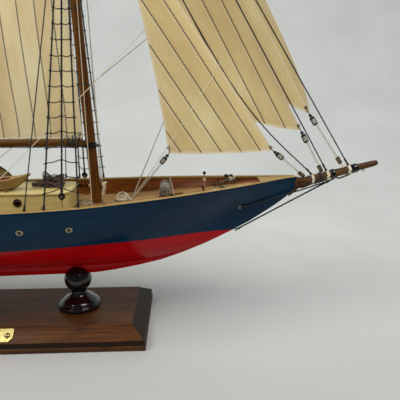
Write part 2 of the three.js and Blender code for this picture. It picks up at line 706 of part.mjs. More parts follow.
// Shroud gang: three shrouds from the rail to the hounds, tied across by ratlines.
const GANG_X = { fore: [-30.4, -18, -3.6], main: [-36, -21, -6] };
const RAT_STEP = 12.2;
function gang(name, x0, hounds, side) {
  const h = 0.5;
  const q = 0.4;
  const feet = GANG_X[name].map((dx) => {
    const x = x0 + dx;
    return V(x, side * (fair(RAIL_Y, x) - 1.2), fair(RAIL_Z, x) + GAP);
  });
  const zTop = hounds - 4;
  const tops = [-1.9, 0, 1.9].map((d) => V(mastX(x0, zTop) + d, side * 5.9, zTop));
  const levels = [];
  for (let z = feet[0].z + 13; z < hounds - 24; z += RAT_STEP) levels.push(z);
  const rows = [-1];
  for (const z of levels) rows.push(z - q, z + q);
  rows.push(-2);
  const nr = rows.length;
  const pos = [];
  const idx = [];
  for (let i = 0; i < 3; i += 1) {
    for (const row of rows) {
      const arch = i === 1 ? 1.4 : 0;
      const z = row === -1 ? feet[i].z : row === -2 ? zTop : row + arch;
      const p = feet[i].clone().lerp(tops[i], (z - feet[i].z) / (zTop - feet[i].z));
      for (const [e, o] of [[-h, -h], [h, -h], [h, h], [-h, h]]) pos.push(p.x + e, p.y + o, p.z);
    }
  }
  const at = (i, r, k) => (i * nr + r) * 4 + (k % 4);
  const quad = (a, b, c, d) => idx.push(a, b, c, a, c, d);
  for (let i = 0; i < 3; i += 1) {
    quad(at(i, 0, 0), at(i, 0, 3), at(i, 0, 2), at(i, 0, 1));
    quad(at(i, nr - 1, 0), at(i, nr - 1, 1), at(i, nr - 1, 2), at(i, nr - 1, 3));
    for (let r = 0; r < nr - 1; r += 1) {
      const level = r % 2 === 1;
      for (let k = 0; k < 4; k += 1) {
        const open = level && ((k === 1 && i < 2) || (k === 3 && i > 0));
        if (!open) quad(at(i, r, k), at(i, r, k + 1), at(i, r + 1, k + 1), at(i, r + 1, k));
      }
      if (level && i < 2) {
        const near = [at(i, r, 1), at(i, r, 2), at(i, r + 1, 2), at(i, r + 1, 1)];
        const far = [at(i + 1, r, 0), at(i + 1, r, 3), at(i + 1, r + 1, 3), at(i + 1, r + 1, 0)];
        for (let k = 0; k < 4; k += 1) {
          const n = (k + 1) % 4;
          quad(near[k], near[n], far[n], far[k]);
        }
      }
    }
  }
  const g = new THREE.BufferGeometry();
  g.setAttribute("position", new THREE.Float32BufferAttribute(pos, 3));
  g.setIndex(idx);
  return outward(g);
}
for (const [side, word] of [[-1, "starboard"], [1, "port"]]) {
  add(`fore_shrouds_${word}`, gang("fore", FORE_X, FORE_HOUNDS, side), "cord");
  add(`main_shrouds_${word}`, gang("main", MAIN_X, MAIN_HOUNDS, side), "cord");
  for (const [name, x0, back, zt] of [
    ["fore", FORE_X, 45.5, FORE_HOUNDS - 4], ["main", MAIN_X, 50, MAIN_HOUNDS - 4],
  ]) {
    const x = x0 - back;
    const foot = V(x, side * (fair(RAIL_Y, x) - 1.4), fair(RAIL_Z, x) + 1.1);
    add(`${name}_backstay_${word}`, rope(foot, V(mastX(x0, zt) - 3.8, side * 5.9, zt)), "cord");
  }
}

// ---- deck furniture ----
function onDeck(x0, x1, y) {
  const xs = [x0, (x0 + x1) / 2, x1];
  return Math.max(...xs.flatMap((x) => [0, y].map((yy) => deckTop(x, yy)))) + GAP;
}

// A house whose foot follows the deck's sheer.
function house(x0, x1, half, zTop, r) {
  const plan = [];
  const corners = [[x1 - r, half - r, 0], [x0 + r, half - r, 90], [x0 + r, -half + r, 180], [x1 - r, -half + r, 270]];
  for (const [cx, cy, a0] of corners) {
    for (let i = 0; i <= 4; i += 1) {
      const t = ((a0 + 22.5 * i) * Math.PI) / 180;
      plan.push([cx + r * Math.cos(t), cy + r * Math.sin(t)]);
    }
  }
  const foot = Math.max(...plan.map(([x, y]) => deckTop(x, y)), deckTop(x0, 0), deckTop(x1, 0)) + GAP;
  return skin([foot, zTop].map((z) => plan.map(([x, y]) => V(x, y, z))));
}

const HOUSE_TOP = 142;
add("deckhouse", house(-24, 106.5, 24.6, HOUSE_TOP, 10), "pale");
add("deckhouse_roof", slab(-25, 107.5, -25.4, 25.4, HOUSE_TOP + GAP, HOUSE_TOP + 2.4, 11, 4), "pale");
add("main_hatch", unite(
  box(-57, -29, -12, 12, onDeck(-57, -29, 12), 131.4),
  box(-58.4, -27.6, -13.4, 13.4, 130.6, 132.6),
), "mast");
const CABIN_TOP = 146.4;
add("aft_cabin", house(-214, -140, 27, CABIN_TOP, 6), "pale");
add("aft_cabin_roof", slab(-216, -138, -29, 29, CABIN_TOP + GAP, CABIN_TOP + 2.4, 7), "pale");

function dory(x, y, z, len, beam, deep, flip) {
  const rings = [];
  for (const t of [-1, -0.9, -0.78, -0.68, -0.6, -0.5, -0.25, 0, 0.25, 0.5, 0.6, 0.68, 0.78, 0.9, 1]) {
    const a = Math.abs(t);
    const w = Math.max(beam * 0.5 * (1 - Math.pow(a, 2.3)), 0.5);
    const up = deep * (0.62 + 0.38 * Math.pow(a, 2.5));
    const stem = Math.pow(Math.max(0, (a - 0.56) / 0.44), 1.15);
    const low = Math.min(0.8 * t * t + (up - 0.8) * stem, up - 1.1);
    const wl = Math.max(w * 0.56 * (1 - Math.pow(a / 0.66, 4)), 0.35);
    const inner = Math.max(w - 1.1, 0.2);
    const innerLow = Math.min(Math.max(wl - 0.8, 0.15), inner);
    const well = a > 0.55 ? up : low + 1.3;
    const half = [
      [wl, low],
      [w, up],
      [inner, up],
      [innerLow, well],
    ];
    const all = [...half, ...half.map(([c, d]) => [-c, d]).reverse()];
    rings.push(all.map(([c, d]) => V(x + (t * len) / 2, y + c, z + (flip ? deep - d : d))));
  }
  return skin(rings);
}
const ROOF_Z = HOUSE_TOP + 2.4 + GAP;
add("dory_starboard", dory(28, -12.4, ROOF_Z, 88, 22, 15.4, false), "dory");
add("dory_port", dory(15, 11.4, ROOF_Z, 72, 23, 17.5, true), "dory");

// Windlass: a drum turns on two journals in saddles on a base plank.
const WIND_X = 193;
const WIND_Z = 142;
const JOURNAL_R = 2.6;
function windlassBitts() {
  const z0 = onDeck(WIND_X - 6, WIND_X + 13, 0);
  const saddle = (y) => box(WIND_X - 3.8, WIND_X + 3.8, y - 1.2, y + 1.2, z0, WIND_Z + 3.9);
  const plank = box(WIND_X - 6, WIND_X + 13, -10.4, 10.4, z0, z0 + 1.2);
  const bore = bar([V(WIND_X, -20, WIND_Z), V(WIND_X, 20, WIND_Z)], JOURNAL_R + 0.25, 16);
  return cut(unite(saddle(-8), saddle(8), plank), bore);
}
function windlassBarrel() {
  const profile = [
    [0, -14], [4.9, -14], [5.3, -13.4], [5.3, -10.6], [4.9, -10], [JOURNAL_R, -9.6], [JOURNAL_R, -6.4],
    [4.9, -6], [4.9, 6], [JOURNAL_R, 6.4], [JOURNAL_R, 9.6], [4.9, 10], [5.3, 10.6], [5.3, 13.4],
    [4.9, 14], [0, 14],
  ];
  const g = turned(profile, 14);
  g.rotateX(Math.PI / 2);
  g.translate(WIND_X, 0, WIND_Z);
  return g;
}
add("windlass_bitts", windlassBitts(), "mast");
add("windlass_barrel", windlassBarrel(), "pewter");

// Anchors laid on the fore deck, one each side.
function anchor(x, y, side) {
  const z = deckTop(x - 16, y) + GAP + 1.5;
  const zf = deckTop(x + 10, y) + GAP + 1.6;
  const shank = bar([V(x - 18, y, z), V(x + 10, y, zf)], 1.1, 8);
  const arms = bar([
    V(x + 3.4, y - side * 5.5, zf + 5.2), V(x + 9, y - side * 3.4, zf + 1.2), V(x + 10.4, y, zf),
    V(x + 8.4, y + side * 3.6, zf + 0.2), V(x + 3.4, y + side * 6.2, zf + 0.8),
  ], [0.7, 1.1, 1.3, 1.1, 0.7], 6);
  const stock = bar([V(x - 15, y - 5, z + 0.3), V(x - 15, y + 5, z + 0.3)], 0.9, 6);
  return unite(shank, arms, stock);
}
add("anchor_starboard", anchor(244, -13.5, -1), "pewter");
add("anchor_port", anchor(258, 12.5, 1), "pewter");

// Steering gear: a box before the wheel, which turns on a fore-and-aft axle.
const WHEEL_X = -301;
const wheelZ = 145.4;
add("wheel_box", unite(
  box(WHEEL_X + 3.2, WHEEL_X + 20, -6, 6, onDeck(WHEEL_X + 3, WHEEL_X + 20, 6), wheelZ + 2.4),
  box(WHEEL_X + 3.25, WHEEL_X + 20.8, -6.8, 6.8, wheelZ + 2, wheelZ + 3.6),
), "mast");
function wheel() {
  const rim = band(6.3, 8, -0.8, 0.8, 12);
  const hub = turned([[0, -1.4], [1.8, -1.4], [1.8, 1.4], [0, 1.4]], 10);
  const spokes = [];
  for (let i = 0; i < 3; i += 1) {
    const t = (i * Math.PI) / 3;
    const d = V(Math.cos(t), Math.sin(t), 0);
    spokes.push(bar([d.clone().multiplyScalar(-9.8), d.clone().multiplyScalar(9.8)], 0.6, 4));
  }
  const g = unite(rim, hub, ...spokes);
  g.rotateY(Math.PI / 2);
  g.translate(WHEEL_X + 1.5, 0, wheelZ);
  return g;
}
add("steering_wheel", wheel(), "mast");

export default group;
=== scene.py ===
import math
import random

import bpy
import numpy as np
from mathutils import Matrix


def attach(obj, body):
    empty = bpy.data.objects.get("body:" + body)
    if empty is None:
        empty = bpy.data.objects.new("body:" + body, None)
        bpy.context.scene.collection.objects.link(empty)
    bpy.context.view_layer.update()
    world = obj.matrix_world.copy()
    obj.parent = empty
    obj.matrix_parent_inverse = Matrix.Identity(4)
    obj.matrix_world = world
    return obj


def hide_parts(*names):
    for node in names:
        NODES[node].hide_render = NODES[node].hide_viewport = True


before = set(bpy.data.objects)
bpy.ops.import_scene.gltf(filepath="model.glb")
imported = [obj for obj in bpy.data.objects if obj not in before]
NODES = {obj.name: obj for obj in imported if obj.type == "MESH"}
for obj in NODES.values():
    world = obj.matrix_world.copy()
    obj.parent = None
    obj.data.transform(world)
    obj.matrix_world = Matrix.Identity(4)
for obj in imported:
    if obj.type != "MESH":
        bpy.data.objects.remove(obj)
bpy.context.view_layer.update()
rnd = random.Random(7)
TURN = 2 * math.pi
SIDES = ((-1, "starboard"), (1, "port"))


def placed(name, data, at=(0, 0, 0), turn=(0, 0, 0)):
    """A new object in the scene, at a place in metres."""
    ob = bpy.data.objects.new(name, data)
    ob.location, ob.rotation_euler = at, turn
    bpy.context.scene.collection.objects.link(ob)
    return ob


# ---------------------------------------------------------------- camera and light
camera = bpy.data.cameras.new("camera")
camera.lens = 38.41
camera.sensor_width = 36
camera.clip_start = 0.01
camera_turn = (math.radians(90 - 14.8), 0, math.radians(-2.59))
bpy.context.scene.camera = placed("camera", camera, (0.20855, -0.4, 0.2356), camera_turn)
bpy.context.scene.view_settings.view_transform = "Standard"


def area_light(name, at, aim, size, power, colour):
    data = bpy.data.lights.new(name, "AREA")
    data.shape = "RECTANGLE"
    data.size, data.size_y = size
    data.energy = power
    data.color = colour
    way = np.array(aim) - np.array(at)
    tilt = math.acos(-way[2] / np.linalg.norm(way))
    placed(name, data, at, (tilt, 0, math.atan2(way[1], way[0]) - math.pi / 2))


WARM, COOL = (1, 0.985, 0.96), (0.96, 0.98, 1)
area_light("light_left", (-0.72, -0.42, 1.42), (0.1, 0, 0.15), (0.8, 0.6), 10.6, WARM)
area_light("light_right", (0.86, -0.6, 1.5), (0.1, 0, 0.15), (0.8, 0.6), 9.8, WARM)
area_light("light_behind", (0.0, 1.5, 1.3), (0.0, 0, 0.3), (1.2, 0.8), 9, COOL)
ROOM_FILL, ROOM_GLOSS = 0.65, 0.11  # the room is dimmer in the gloss than its soft fill light is
world = bpy.data.worlds.new("studio")
world.use_nodes = True
sky = world.node_tree.nodes["Background"]
sky.inputs[0].default_value = (0.88, 0.9, 0.91, 1)
ray = world.node_tree.nodes.new("ShaderNodeLightPath")
dim = world.node_tree.nodes.new("ShaderNodeMath")
dim.operation = "MULTIPLY_ADD"
dim.inputs[1].default_value = ROOM_GLOSS - ROOM_FILL
dim.inputs[2].default_value = ROOM_FILL
world.node_tree.links.new(ray.outputs["Is Glossy Ray"], dim.inputs[0])
world.node_tree.links.new(dim.outputs[0], sky.inputs[1])
bpy.context.scene.world = world


# ---------------------------------------------------------------- materials
def srgb(tone):
    """A colour written as six hex digits, made linear."""
    parts = [int(tone[i:i + 2], 16) / 255 for i in (0, 2, 4)]
    return (*(c / 12.92 if c <= 0.04045 else ((c + 0.055) / 1.055) ** 2.4 for c in parts), 1)


class Val:
    """A shader node's output that adds and multiplies like a number."""

    def __init__(self, mat, socket):
        self.mat, self.socket = mat, socket

    def math(self, kind, other=0.0):
        return self.mat.node("Math", {0: self, 1: other}, operation=kind)

    def __add__(self, other):
        return self.math("ADD", other)

    def __sub__(self, other):
        return self.math("SUBTRACT", other)

    def __mul__(self, other):
        return self.math("MULTIPLY", other)

    def __truediv__(self, other):
        return self.math("DIVIDE", other)

    def span(self, low, high, to0=0.0, to1=1.0, kind="SMOOTHSTEP"):
        """Maps low to to0 and high to to1."""
        ins = {"Value": self, "From Min": low, "From Max": high, "To Min": to0, "To Max": to1}
        return self.mat.node("MapRange", ins, interpolation_type=kind)

    def line(self, pitch, half, soft=0.3):
        """1 on thin lines where the value is a whole number of pitches; half is half a line's width."""
        off = ((self / pitch + 0.5).math("FRACT") - 0.5).math("ABSOLUTE") * pitch
        return off.span(half * (1 - soft), half * (1 + soft), 1.0, 0.0)


class Mat:
    """One node material: the Principled shader's sockets, and short calls that add nodes."""

    def __init__(self, name, sockets):
        self.m = bpy.data.materials.new(name)
        self.m.use_nodes = True
        self.tree = self.m.node_tree
        self.bsdf = self.tree.nodes["Principled BSDF"]
        self.put(self.bsdf, sockets)

    def put(self, node, ins):
        """Feeds a node's inputs with values, colours as hex digits, or other nodes' outputs."""
        for key, value in ins.items():
            if isinstance(value, Val):
                self.tree.links.new(value.socket, node.inputs[key])
            else:
                node.inputs[key].default_value = srgb(value) if isinstance(value, str) else value

    def node(self, kind, ins, out=0, **attrs):
        """A new node's output, or a list of them all where out is None."""
        node = self.tree.nodes.new("ShaderNode" + kind)
        for key, value in attrs.items():
            setattr(node, key, value)
        self.put(node, ins)
        return [Val(self, s) for s in node.outputs] if out is None else Val(self, node.outputs[out])

    def here(self, scale, uv=None):
        """Object coordinates in metres, or a UV map's, scaled."""
        raw = self.node("UVMap", {}, uv_map=uv) if uv else self.node("TexCoord", {}, "Object")
        return self.node("Mapping", {"Vector": raw, "Scale": np.broadcast_to(scale, 3).tolist()})

    def place(self, uv=None):
        """The same coordinates in millimetres, as three values."""
        return self.node("SeparateXYZ", {0: self.here(1000, uv)}, None)

    def noise(self, scale, detail, rough, warp=0.0, uv=None):
        ins = {"Scale": 1, "Detail": detail, "Roughness": rough, "Distortion": warp}
        return self.node("TexNoise", {"Vector": self.here(scale, uv), **ins})

    def dice(self, number):
        """A random value for each whole number."""
        return self.node("TexWhiteNoise", {"W": number}, noise_dimensions="1D")

    def ramp(self, fac, tones, at=(0.3, 0.7)):
        """Tones at the places named, or spread evenly between two of them."""
        tones = tones.split()
        out = self.node("ValToRGB", {0: fac})
        band = out.socket.node.color_ramp
        while len(band.elements) < len(tones):
            band.elements.new(0.5)
        places = np.linspace(*at, len(tones)) if len(at) == 2 else at
        for element, position, tone in zip(band.elements, places, tones):
            element.position = position
            element.color = srgb(tone)
        return out

    def mix(self, fac, a, b):
        return self.node("Mix", {0: fac, 6: a, 7: b}, 2, data_type="RGBA")

    def bump(self, height, depth, under=None):
        """A bump whose full height is depth millimetres."""
        ins = {"Height": height, "Distance": depth / 1000, "Strength": 1.0}
        return self.node("Bump", ins if under is None else {**ins, "Normal": under})

    def done(self, colour, normal, rough=None):
        """Feeds the shader and gives the Blender material."""
        self.put(self.bsdf, {"Base Color": colour, "Normal": normal})
        if rough:
            self.put(self.bsdf, {"Roughness": rough})
        return self.m


def wood(name, tones, grain="x", pitch=1.6, rough=(0.3, 0.5), bump=0.05, coat=0.0, planks=None,
         spots=None, spec=0.15, shade_cove_and_ends=False):
    """Sawn wood: tones from dark to light, the grain's axis and its pitch, and planks as
    (axis, width, seam colour, half a seam's width)."""
    m = Mat(name, {"Coat Weight": coat * 0.5, "Coat Roughness": 0.12, "Specular IOR Level": spec})
    scale = np.full(3, 1000 / pitch)
    scale["xyz".index(grain)] /= 24
    figure = m.noise(scale, 6, 0.6, 0.5)
    broad = m.noise(scale * 0.13, 3, 0.55, 0.6)
    pores = m.noise(scale * 3.4, 2, 0.7)
    fac = figure * 0.5 + broad * 0.5 + (pores - 0.5) * 0.25
    height = figure * 0.6 + pores * 0.4
    if planks:
        axis, width, seam_tone, half = planks
        at = m.place()["xyz".index(axis)]
        fac = fac + (m.dice((at / width + 0.5).math("FLOOR")) - 0.5) * 0.16
        seams = (at + width / 2).line(width, half)
        height = height - seams
    colour = m.ramp(fac, tones)
    if planks:
        colour = m.mix(seams * 0.8, colour, seam_tone)
    if spots:
        colour = m.mix(m.noise(55, 4, 0.6).span(0.56, 0.7) * 0.5, colour, spots)
    if shade_cove_and_ends:  # painted shade and reflection: the cove over the foot is darkened for the shade under its moulding, and the end faces for their dark reflection
        level = m.place()[2]
        cove_shade = level.span(4.5, 5.2) * level.span(9.9, 10.8, 1.0, 0.0)
        slant = m.node("SeparateXYZ", {0: m.node("NewGeometry", {}, "Normal")})
        dark = (cove_shade + (slant * slant).span(0.15, 0.3)).math("MINIMUM", 1.0)
        colour = m.mix(dark * 0.8, colour, "0e0a06")
    return m.done(colour, m.bump(height, bump), figure.span(0.3, 0.7, *rough, "LINEAR"))


def lacquer(name, tones, rough=0.16, coat=0.6, grain=0.012):
    """Sprayed and rubbed lacquer with a faint wave and dust in it."""
    m = Mat(name, {"Coat Weight": coat, "Coat Roughness": 0.06})
    wave = m.noise((14, 60, 60), 2, 0.5)
    dust = m.noise(900, 2, 0.6)
    colour = m.ramp(m.noise((9, 16, 22), 3, 0.5), tones, (0.35, 0.65))
    normal = m.bump(dust, grain, m.bump(wave, grain * 8))
    return m.done(colour, normal, dust.span(0.35, 0.75, rough * 0.8, rough * 1.5, "LINEAR"))


def metal(name, tones, rough=(0.2, 0.4), metallic=1.0, scale=900, stretch=1, bump=0.02):
    """Rubbed metal with tarnish in patches and fine scratches."""
    m = Mat(name, {"Metallic": metallic})
    fine = m.noise(scale * np.array(stretch), 3, 0.6)
    colour = m.ramp(m.noise(scale * 0.16, 4, 0.6), tones)
    return m.done(colour, m.bump(fine, bump), fine.span(0.3, 0.7, *rough, "LINEAR"))


def twine(name, tones, rough=0.8, fuzz=900):
    """Laid twine: the strands are in the mesh, the fibres and their tone are here."""
    m = Mat(name, {"Roughness": rough, "Sheen Weight": 0.25, "Sheen Roughness": 0.5})
    fibre = m.noise(fuzz, 4, 0.7)
    fac = fibre * 0.6 + m.noise(60, 3, 0.5) * 0.4
    return m.done(m.ramp(fac, tones, (0.35, 0.65)), m.bump(fibre, 0.12))


CLOTH = 15.5  # a sewn cloth's width on the UV map
WATERLINE = 100  # the height where the red bottom ends


def canvas(name, tones):
    """Sail cloth by its UV map in metres: u from the luff, v up it, with sewn cloths CLOTH wide.
    The second map holds the distance to the nearest edge, for the hem and its stitches."""
    m = Mat(name, {"Roughness": 0.86, "Sheen Weight": 0.12, "Sheen Roughness": 0.6})
    u, v = m.place("cloth")[:2]
    edge = m.place("edge")[0]
    weave = TURN / 0.62
    over = (u * weave).math("SINE") * (v * weave).math("SINE")
    speck = m.noise((1300, 1300, 1), 3, 0.7, uv="cloth")
    fac = m.noise((26, 12, 1), 4, 0.55, 0.3, "cloth") * 0.7 + speck * 0.3
    fac = fac + (m.dice((u / CLOTH).math("FLOOR")) - 0.5) * 0.13
    colour = m.ramp(fac, tones, (0.36, 0.46, 0.54, 0.66))
    for scale, most in (((260, 2400, 1), 0.4), ((2400, 260, 1), 0.3)):
        slub = m.noise(scale, 3, 0.65, uv="cloth")
        colour = m.mix(slub.span(0.5, 0.85, 0, most), colour, "b08c58")
    lap = (u - 1.0).line(CLOTH, 1.1, 0.2)
    doubled = lap.math("MAXIMUM", edge.span(3.0, 3.3, 1.0, 0.0))
    colour = m.mix(doubled * 0.3, colour, "f0e2c4")
    dash = (v / 2.1).math("FRACT").span(0.62, 0.7, 1.0, 0.16)
    seam = u.line(CLOTH, 0.6, 0.25) * dash * u.span(4.0, 5.0)
    colour = m.mix(seam * 0.97, colour, "22160a")
    stitch = (edge - 2.6).line(400, 0.16, 0.4) * ((u + v) / 1.6).math("FRACT").span(0.5, 0.6)
    colour = m.mix(stitch * 0.55, colour, "96764c")
    normal = m.bump(over * 0.16 + speck * 0.4 + doubled * 0.8 - seam * 0.7, 0.16)
    m.done(colour, normal)
    through = m.node("BsdfTranslucent", {"Color": colour, "Normal": normal})
    both = m.node("MixShader", {0: 0.3, 1: Val(m, m.bsdf.outputs[0]), 2: through})
    m.put(m.tree.nodes["Material Output"], {0: both})
    return m.m


def hull_paint():
    """Gloss hull lacquer: navy topsides over a red bottom, parted at the painted waterline."""
    m = Mat("hull_lacquer", {"Coat Weight": 0.16, "Coat Roughness": 0.05, "Specular IOR Level": 0.08})
    level = m.place()[2] + (m.noise(120, 2, 0.5) - 0.5) * 0.5
    fac = m.noise((7, 18, 26), 3, 0.5) * 0.6 + m.noise((18, 160, 500), 4, 0.6) * 0.4
    places = (0.35, 0.5, 0.66)
    blue = m.ramp(fac, "001e32 01263d 032e48", places)
    red = m.ramp(fac, "940206 a40409 b4080e", places)
    dust = m.noise(1100, 2, 0.6)
    wave = m.noise((10, 50, 60), 2, 0.5)
    colour = m.mix(level.span(WATERLINE - 0.15, WATERLINE + 0.15, 1.0, 0.0), blue, red)
    return m.done(colour, m.bump(dust, 0.01, m.bump(wave, 0.25)), dust.span(0.35, 0.75, 0.14, 0.3, "LINEAR"))


PAINT = hull_paint()
CANVAS = canvas("sail_canvas", "e0c48e f0d9a4 f6e2b0 fceec4")
JIB_CANVAS = canvas("headsail_canvas", "dcc086 e4cc92 ead49a f2e2ac")
HEM = twine("hem_cord", "ceba92 e2d0aa eee0c0", 0.86, 1200)
# the board's cove and end faces are darkened as painted shade and reflection
BOARD = wood("walnut_board", "261308 3e230f 543215 70441c", "x", 2.2, (0.36, 0.54), 0.05, 0.1,
             spots="2c1a0e", spec=0.12, shade_cove_and_ends=True)
BULWARK = wood("bulwark_varnish", "4e2202 6c3604 824608 94560e", "x", 1.3, (0.34, 0.48), 0.03, 0.15)
RAIL = wood("rail_timber", "8c6c34 a28244 b29254", "x", 1.0, (0.35, 0.5), 0.03, 0.15)
DECK = wood("deck_timber", "846032 9c7642 ae8852 be9a64", "x", 1.5, (0.38, 0.55), 0.04, 0.1,
            planks=("y", 5.2, "604222", 0.16))
PALE = wood("house_timber", "aa9458 c0ac6c cebc7c d8c88c", "x", 1.8, (0.36, 0.52), 0.04, 0.15)
TRIM = wood("trim_timber", "604224 7c5a34 926e44", "x", 1.2, (0.34, 0.5), 0.04, 0.15)
MAST = wood("mast_timber", "2c1402 462604 623a0a 7a4e14", "z", 1.3, (0.36, 0.5), 0.04, 0.15)
SPAR = wood("spar_timber", "2e1602 462808 603c0e 76521c", "x", 1.2, (0.36, 0.5), 0.04, 0.12)
SPRIT = wood("bowsprit_timber", "1e0f05 38220e 54381a 6c4e28", "x", 1.1, (0.36, 0.52), 0.05, 0.2)
BROWN_WOOD = wood("boat_rail_timber", "301808 4a2a10 643e1c", "x", 0.9, (0.36, 0.5), 0.03)
DORY_TAN = wood("dory_tan", "8c7042 aa8e5a bea46e", "x", 1.2, (0.4, 0.55), 0.04)
DORY_OLIVE = wood("dory_olive", "5c4a22 746032 887442", "x", 1.2, (0.4, 0.55), 0.05)
DORY_RED = wood("dory_inside", "540a0c 701214 841e1c", "x", 1.4, (0.4, 0.55), 0.04)
BLOCK = wood("block_timber", "3a3228 5c5242 7e7460", "z", 0.7, (0.4, 0.6), 0.04)
HEART = wood("heart_timber", "100b08 1e150e 3a2c1e", "z", 0.8, (0.3, 0.5), 0.03, 0.2)
CHEEK = wood("block_cheek", "787466 969284 b2aea0", "z", 0.7, (0.4, 0.6), 0.03)
HANDSPIKE = wood("handspike_timber", "787062 968e80 b0a898", "z", 0.9, (0.4, 0.6), 0.04)
PIN = wood("turned_pin", "825434 a07450 be9872", "z", 0.8, (0.35, 0.5), 0.03)
BLACK = lacquer("black_lacquer", "070706 0a0a09 0f0e0d", 0.12, 0.35)
GLASS = lacquer("dark_glass", "030304 060708", 0.08, 0.3, 0.004)
IRON = metal("black_iron", "121110 1c1b19 282624", (0.4, 0.6), 0.3)
BRASS = metal("brass_plate", "a89658 beb070 cec082", (0.3, 0.44), 0.88, 1400, (0.06, 1, 1), 0.012)
RINGS = metal("brass_fittings", "b0a070 cec294 e2dab4", (0.2, 0.4), 0.95)
PEWTER = metal("pewter", "58544a 767268 969286", (0.38, 0.6), 0.75)
CASTING = metal("speckled_casting", "605a4e 847c6c a09886", (0.5, 0.72), 0.15, 1300, 1, 0.09)
TAR = twine("black_twine", "030303 070606 0f0d0c")
LIGHT = twine("cream_twine", "beac8a daccac ece2c8")
GREY = twine("grey_twine", "706a60 928c80 aca69a")
BROWN = twine("brown_twine", "2c1a14 462e24 624436")


# ---------------------------------------------------------------- meshes
def vec(*p):
    return np.array(p, float)


def unit(v):
    return v / max(np.linalg.norm(v), 1e-9)


def across(axis):
    """Two directions square to an axis, and the axis itself."""
    w = unit(vec(*axis))
    u = unit(np.cross(w, (0, 0, 1) if abs(w[2]) < 0.9 else (1, 0, 0)))
    return u, np.cross(w, u), w


def around(n):
    """The angles of n points round a circle."""
    return np.arange(n) * TURN / n


class Bag:
    """Closed parts gathered into one piece; each part keeps its own material."""

    def __init__(self):
        self.points, self.faces, self.kinds, self.mats, self.count = [], [], [], [], 0

    def add(self, points, faces, mat):
        if mat not in self.mats:
            self.mats.append(mat)
        points = np.asarray(points, float).reshape(-1, 3)
        self.points.append(points)
        self.faces += [[i + self.count for i in f] for f in faces]
        self.kinds += [self.mats.index(mat)] * len(faces)
        self.count += len(points)

    def rings(self, rings, mat, closed=False):
        """A skin through rings of points, each ring a closed loop."""
        rings = np.asarray(rings, float)
        rows, n = rings.shape[:2]
        faces = []
        for i in range(rows if closed else rows - 1):
            a, b = i * n, ((i + 1) % rows) * n
            faces += [(a + j, b + j, b + (j + 1) % n, a + (j + 1) % n) for j in range(n)]
        if not closed:
            faces.append(list(range(n)))
            faces.append(list(range((rows - 1) * n, rows * n))[::-1])
        self.add(rings.reshape(-1, 3), faces, mat)

    def lathe(self, profile, at, mat, axis=(0, 0, 1), seg=24):
        """Turned shape: (radius, height) pairs along axis from at."""
        u, v, w = across(axis)
        circle = np.outer(np.cos(around(seg)), u) + np.outer(np.sin(around(seg)), v)
        rows = [vec(*at) + w * z + circle * max(r, 0.01) for r, z in profile]
        self.rings(rows[::-1], mat)

    def tube(self, path, radius, mat, sides=10, squash=1.0, up=None, closed=False):
        """A round bar along a path; radius is one number or one for each point."""
        path = np.asarray(path, float)
        radius = np.broadcast_to(np.asarray(radius, float), len(path))
        rows = []
        for p, (u, w), r in zip(path, carried(path, up, closed), radius):
            turn = around(sides) + math.pi / sides
            rows.append(p + r * (np.outer(np.cos(turn), u) * squash + np.outer(np.sin(turn), w)))
        self.rings(rows, mat, closed)

    def rope(self, path, radius, mat, step=None, closed=False):
        """Three strands laid up: a section with three lobes that turns along the path."""
        step = step or max(radius * 2.2, 0.8)
        path = resampled(path, step, closed)
        rows = []
        for k, (p, (u, w)) in enumerate(zip(path, carried(path, None, closed))):
            turn = np.arange(6) * math.pi / 3 + k * step / (radius * 7) * math.pi
            size = radius * np.where(np.arange(6) % 2, 0.84, 1.1)
            rows.append(p + np.outer(size * np.cos(turn), u) + np.outer(size * np.sin(turn), w))
        self.rings(rows, mat, closed)

    def blob(self, at, size, mat, axes=None, power=2.0, n=12, m=8):
        """A ball, or with a higher power a soft-cornered block, with half sizes along its axes."""
        axes = np.eye(3) if axes is None else np.asarray(axes, float)
        bend = lambda t: math.copysign(abs(t) ** (2 / power), t)
        rows = []
        for i in range(1, m):
            a = -math.pi / 2 + math.pi * i / m
            c, s = bend(math.cos(a)), bend(math.sin(a))
            ring = []
            for b in around(n):
                q = vec(size[0] * c * bend(math.cos(b)), size[1] * c * bend(math.sin(b)), size[2] * s)
                ring.append(vec(*at) + q @ axes)
            rows.append(ring)
        self.rings(rows, mat)

    def box(self, low, high, mat, soft=0.35):
        """A block with its twelve edges rounded over by soft."""
        low, high = vec(*low), vec(*high)
        mid, half = (low + high) / 2, (high - low) / 2
        soft = min(soft, *(half * 0.98))
        rows = []
        c = soft * 0.7
        for lift, inset in ((-half[2], soft), (c - half[2], 0), (half[2] - c, 0), (half[2], soft)):
            x, y = half[0] - inset, half[1] - inset
            ring = [(x, y - c), (x - c, y), (-x + c, y), (-x, y - c), (-x, -y + c), (-x + c, -y),
                    (x - c, -y), (x, -y + c)]
            rows.append([mid + (a, b, lift) for a, b in ring])
        self.rings(rows, mat)

    def rod(self, at, radius, low, high, mat, axis=(0, 0, 1), seg=24):
        """A plain disc or pin from low to high along axis."""
        self.lathe([(0, low), (radius, low), (radius, high), (0, high)], at, mat, axis, seg)

    def torus(self, at, big, small, mat, axis=(0, 1, 0), seg=16):
        u, v, w = across(axis)
        rows = []
        for t in around(seg):
            out = math.cos(t) * u + math.sin(t) * v
            rows.append([vec(*at) + out * (big + small * math.cos(a)) + w * small * math.sin(a)
                         for a in around(8)])
        self.rings(rows, mat, True)

    def done(self, name, body="model", slot=None, replaces=(), sharp=34):
        """Makes the piece and hangs it on its body."""
        mesh = bpy.data.meshes.new(name)
        mesh.from_pydata((np.vstack(self.points) / 1000).tolist(), [], self.faces)
        for mat in self.mats:
            mesh.materials.append(mat)
        mesh.polygons.foreach_set("material_index", self.kinds)
        return settled(mesh, name, body, replaces, sharp)


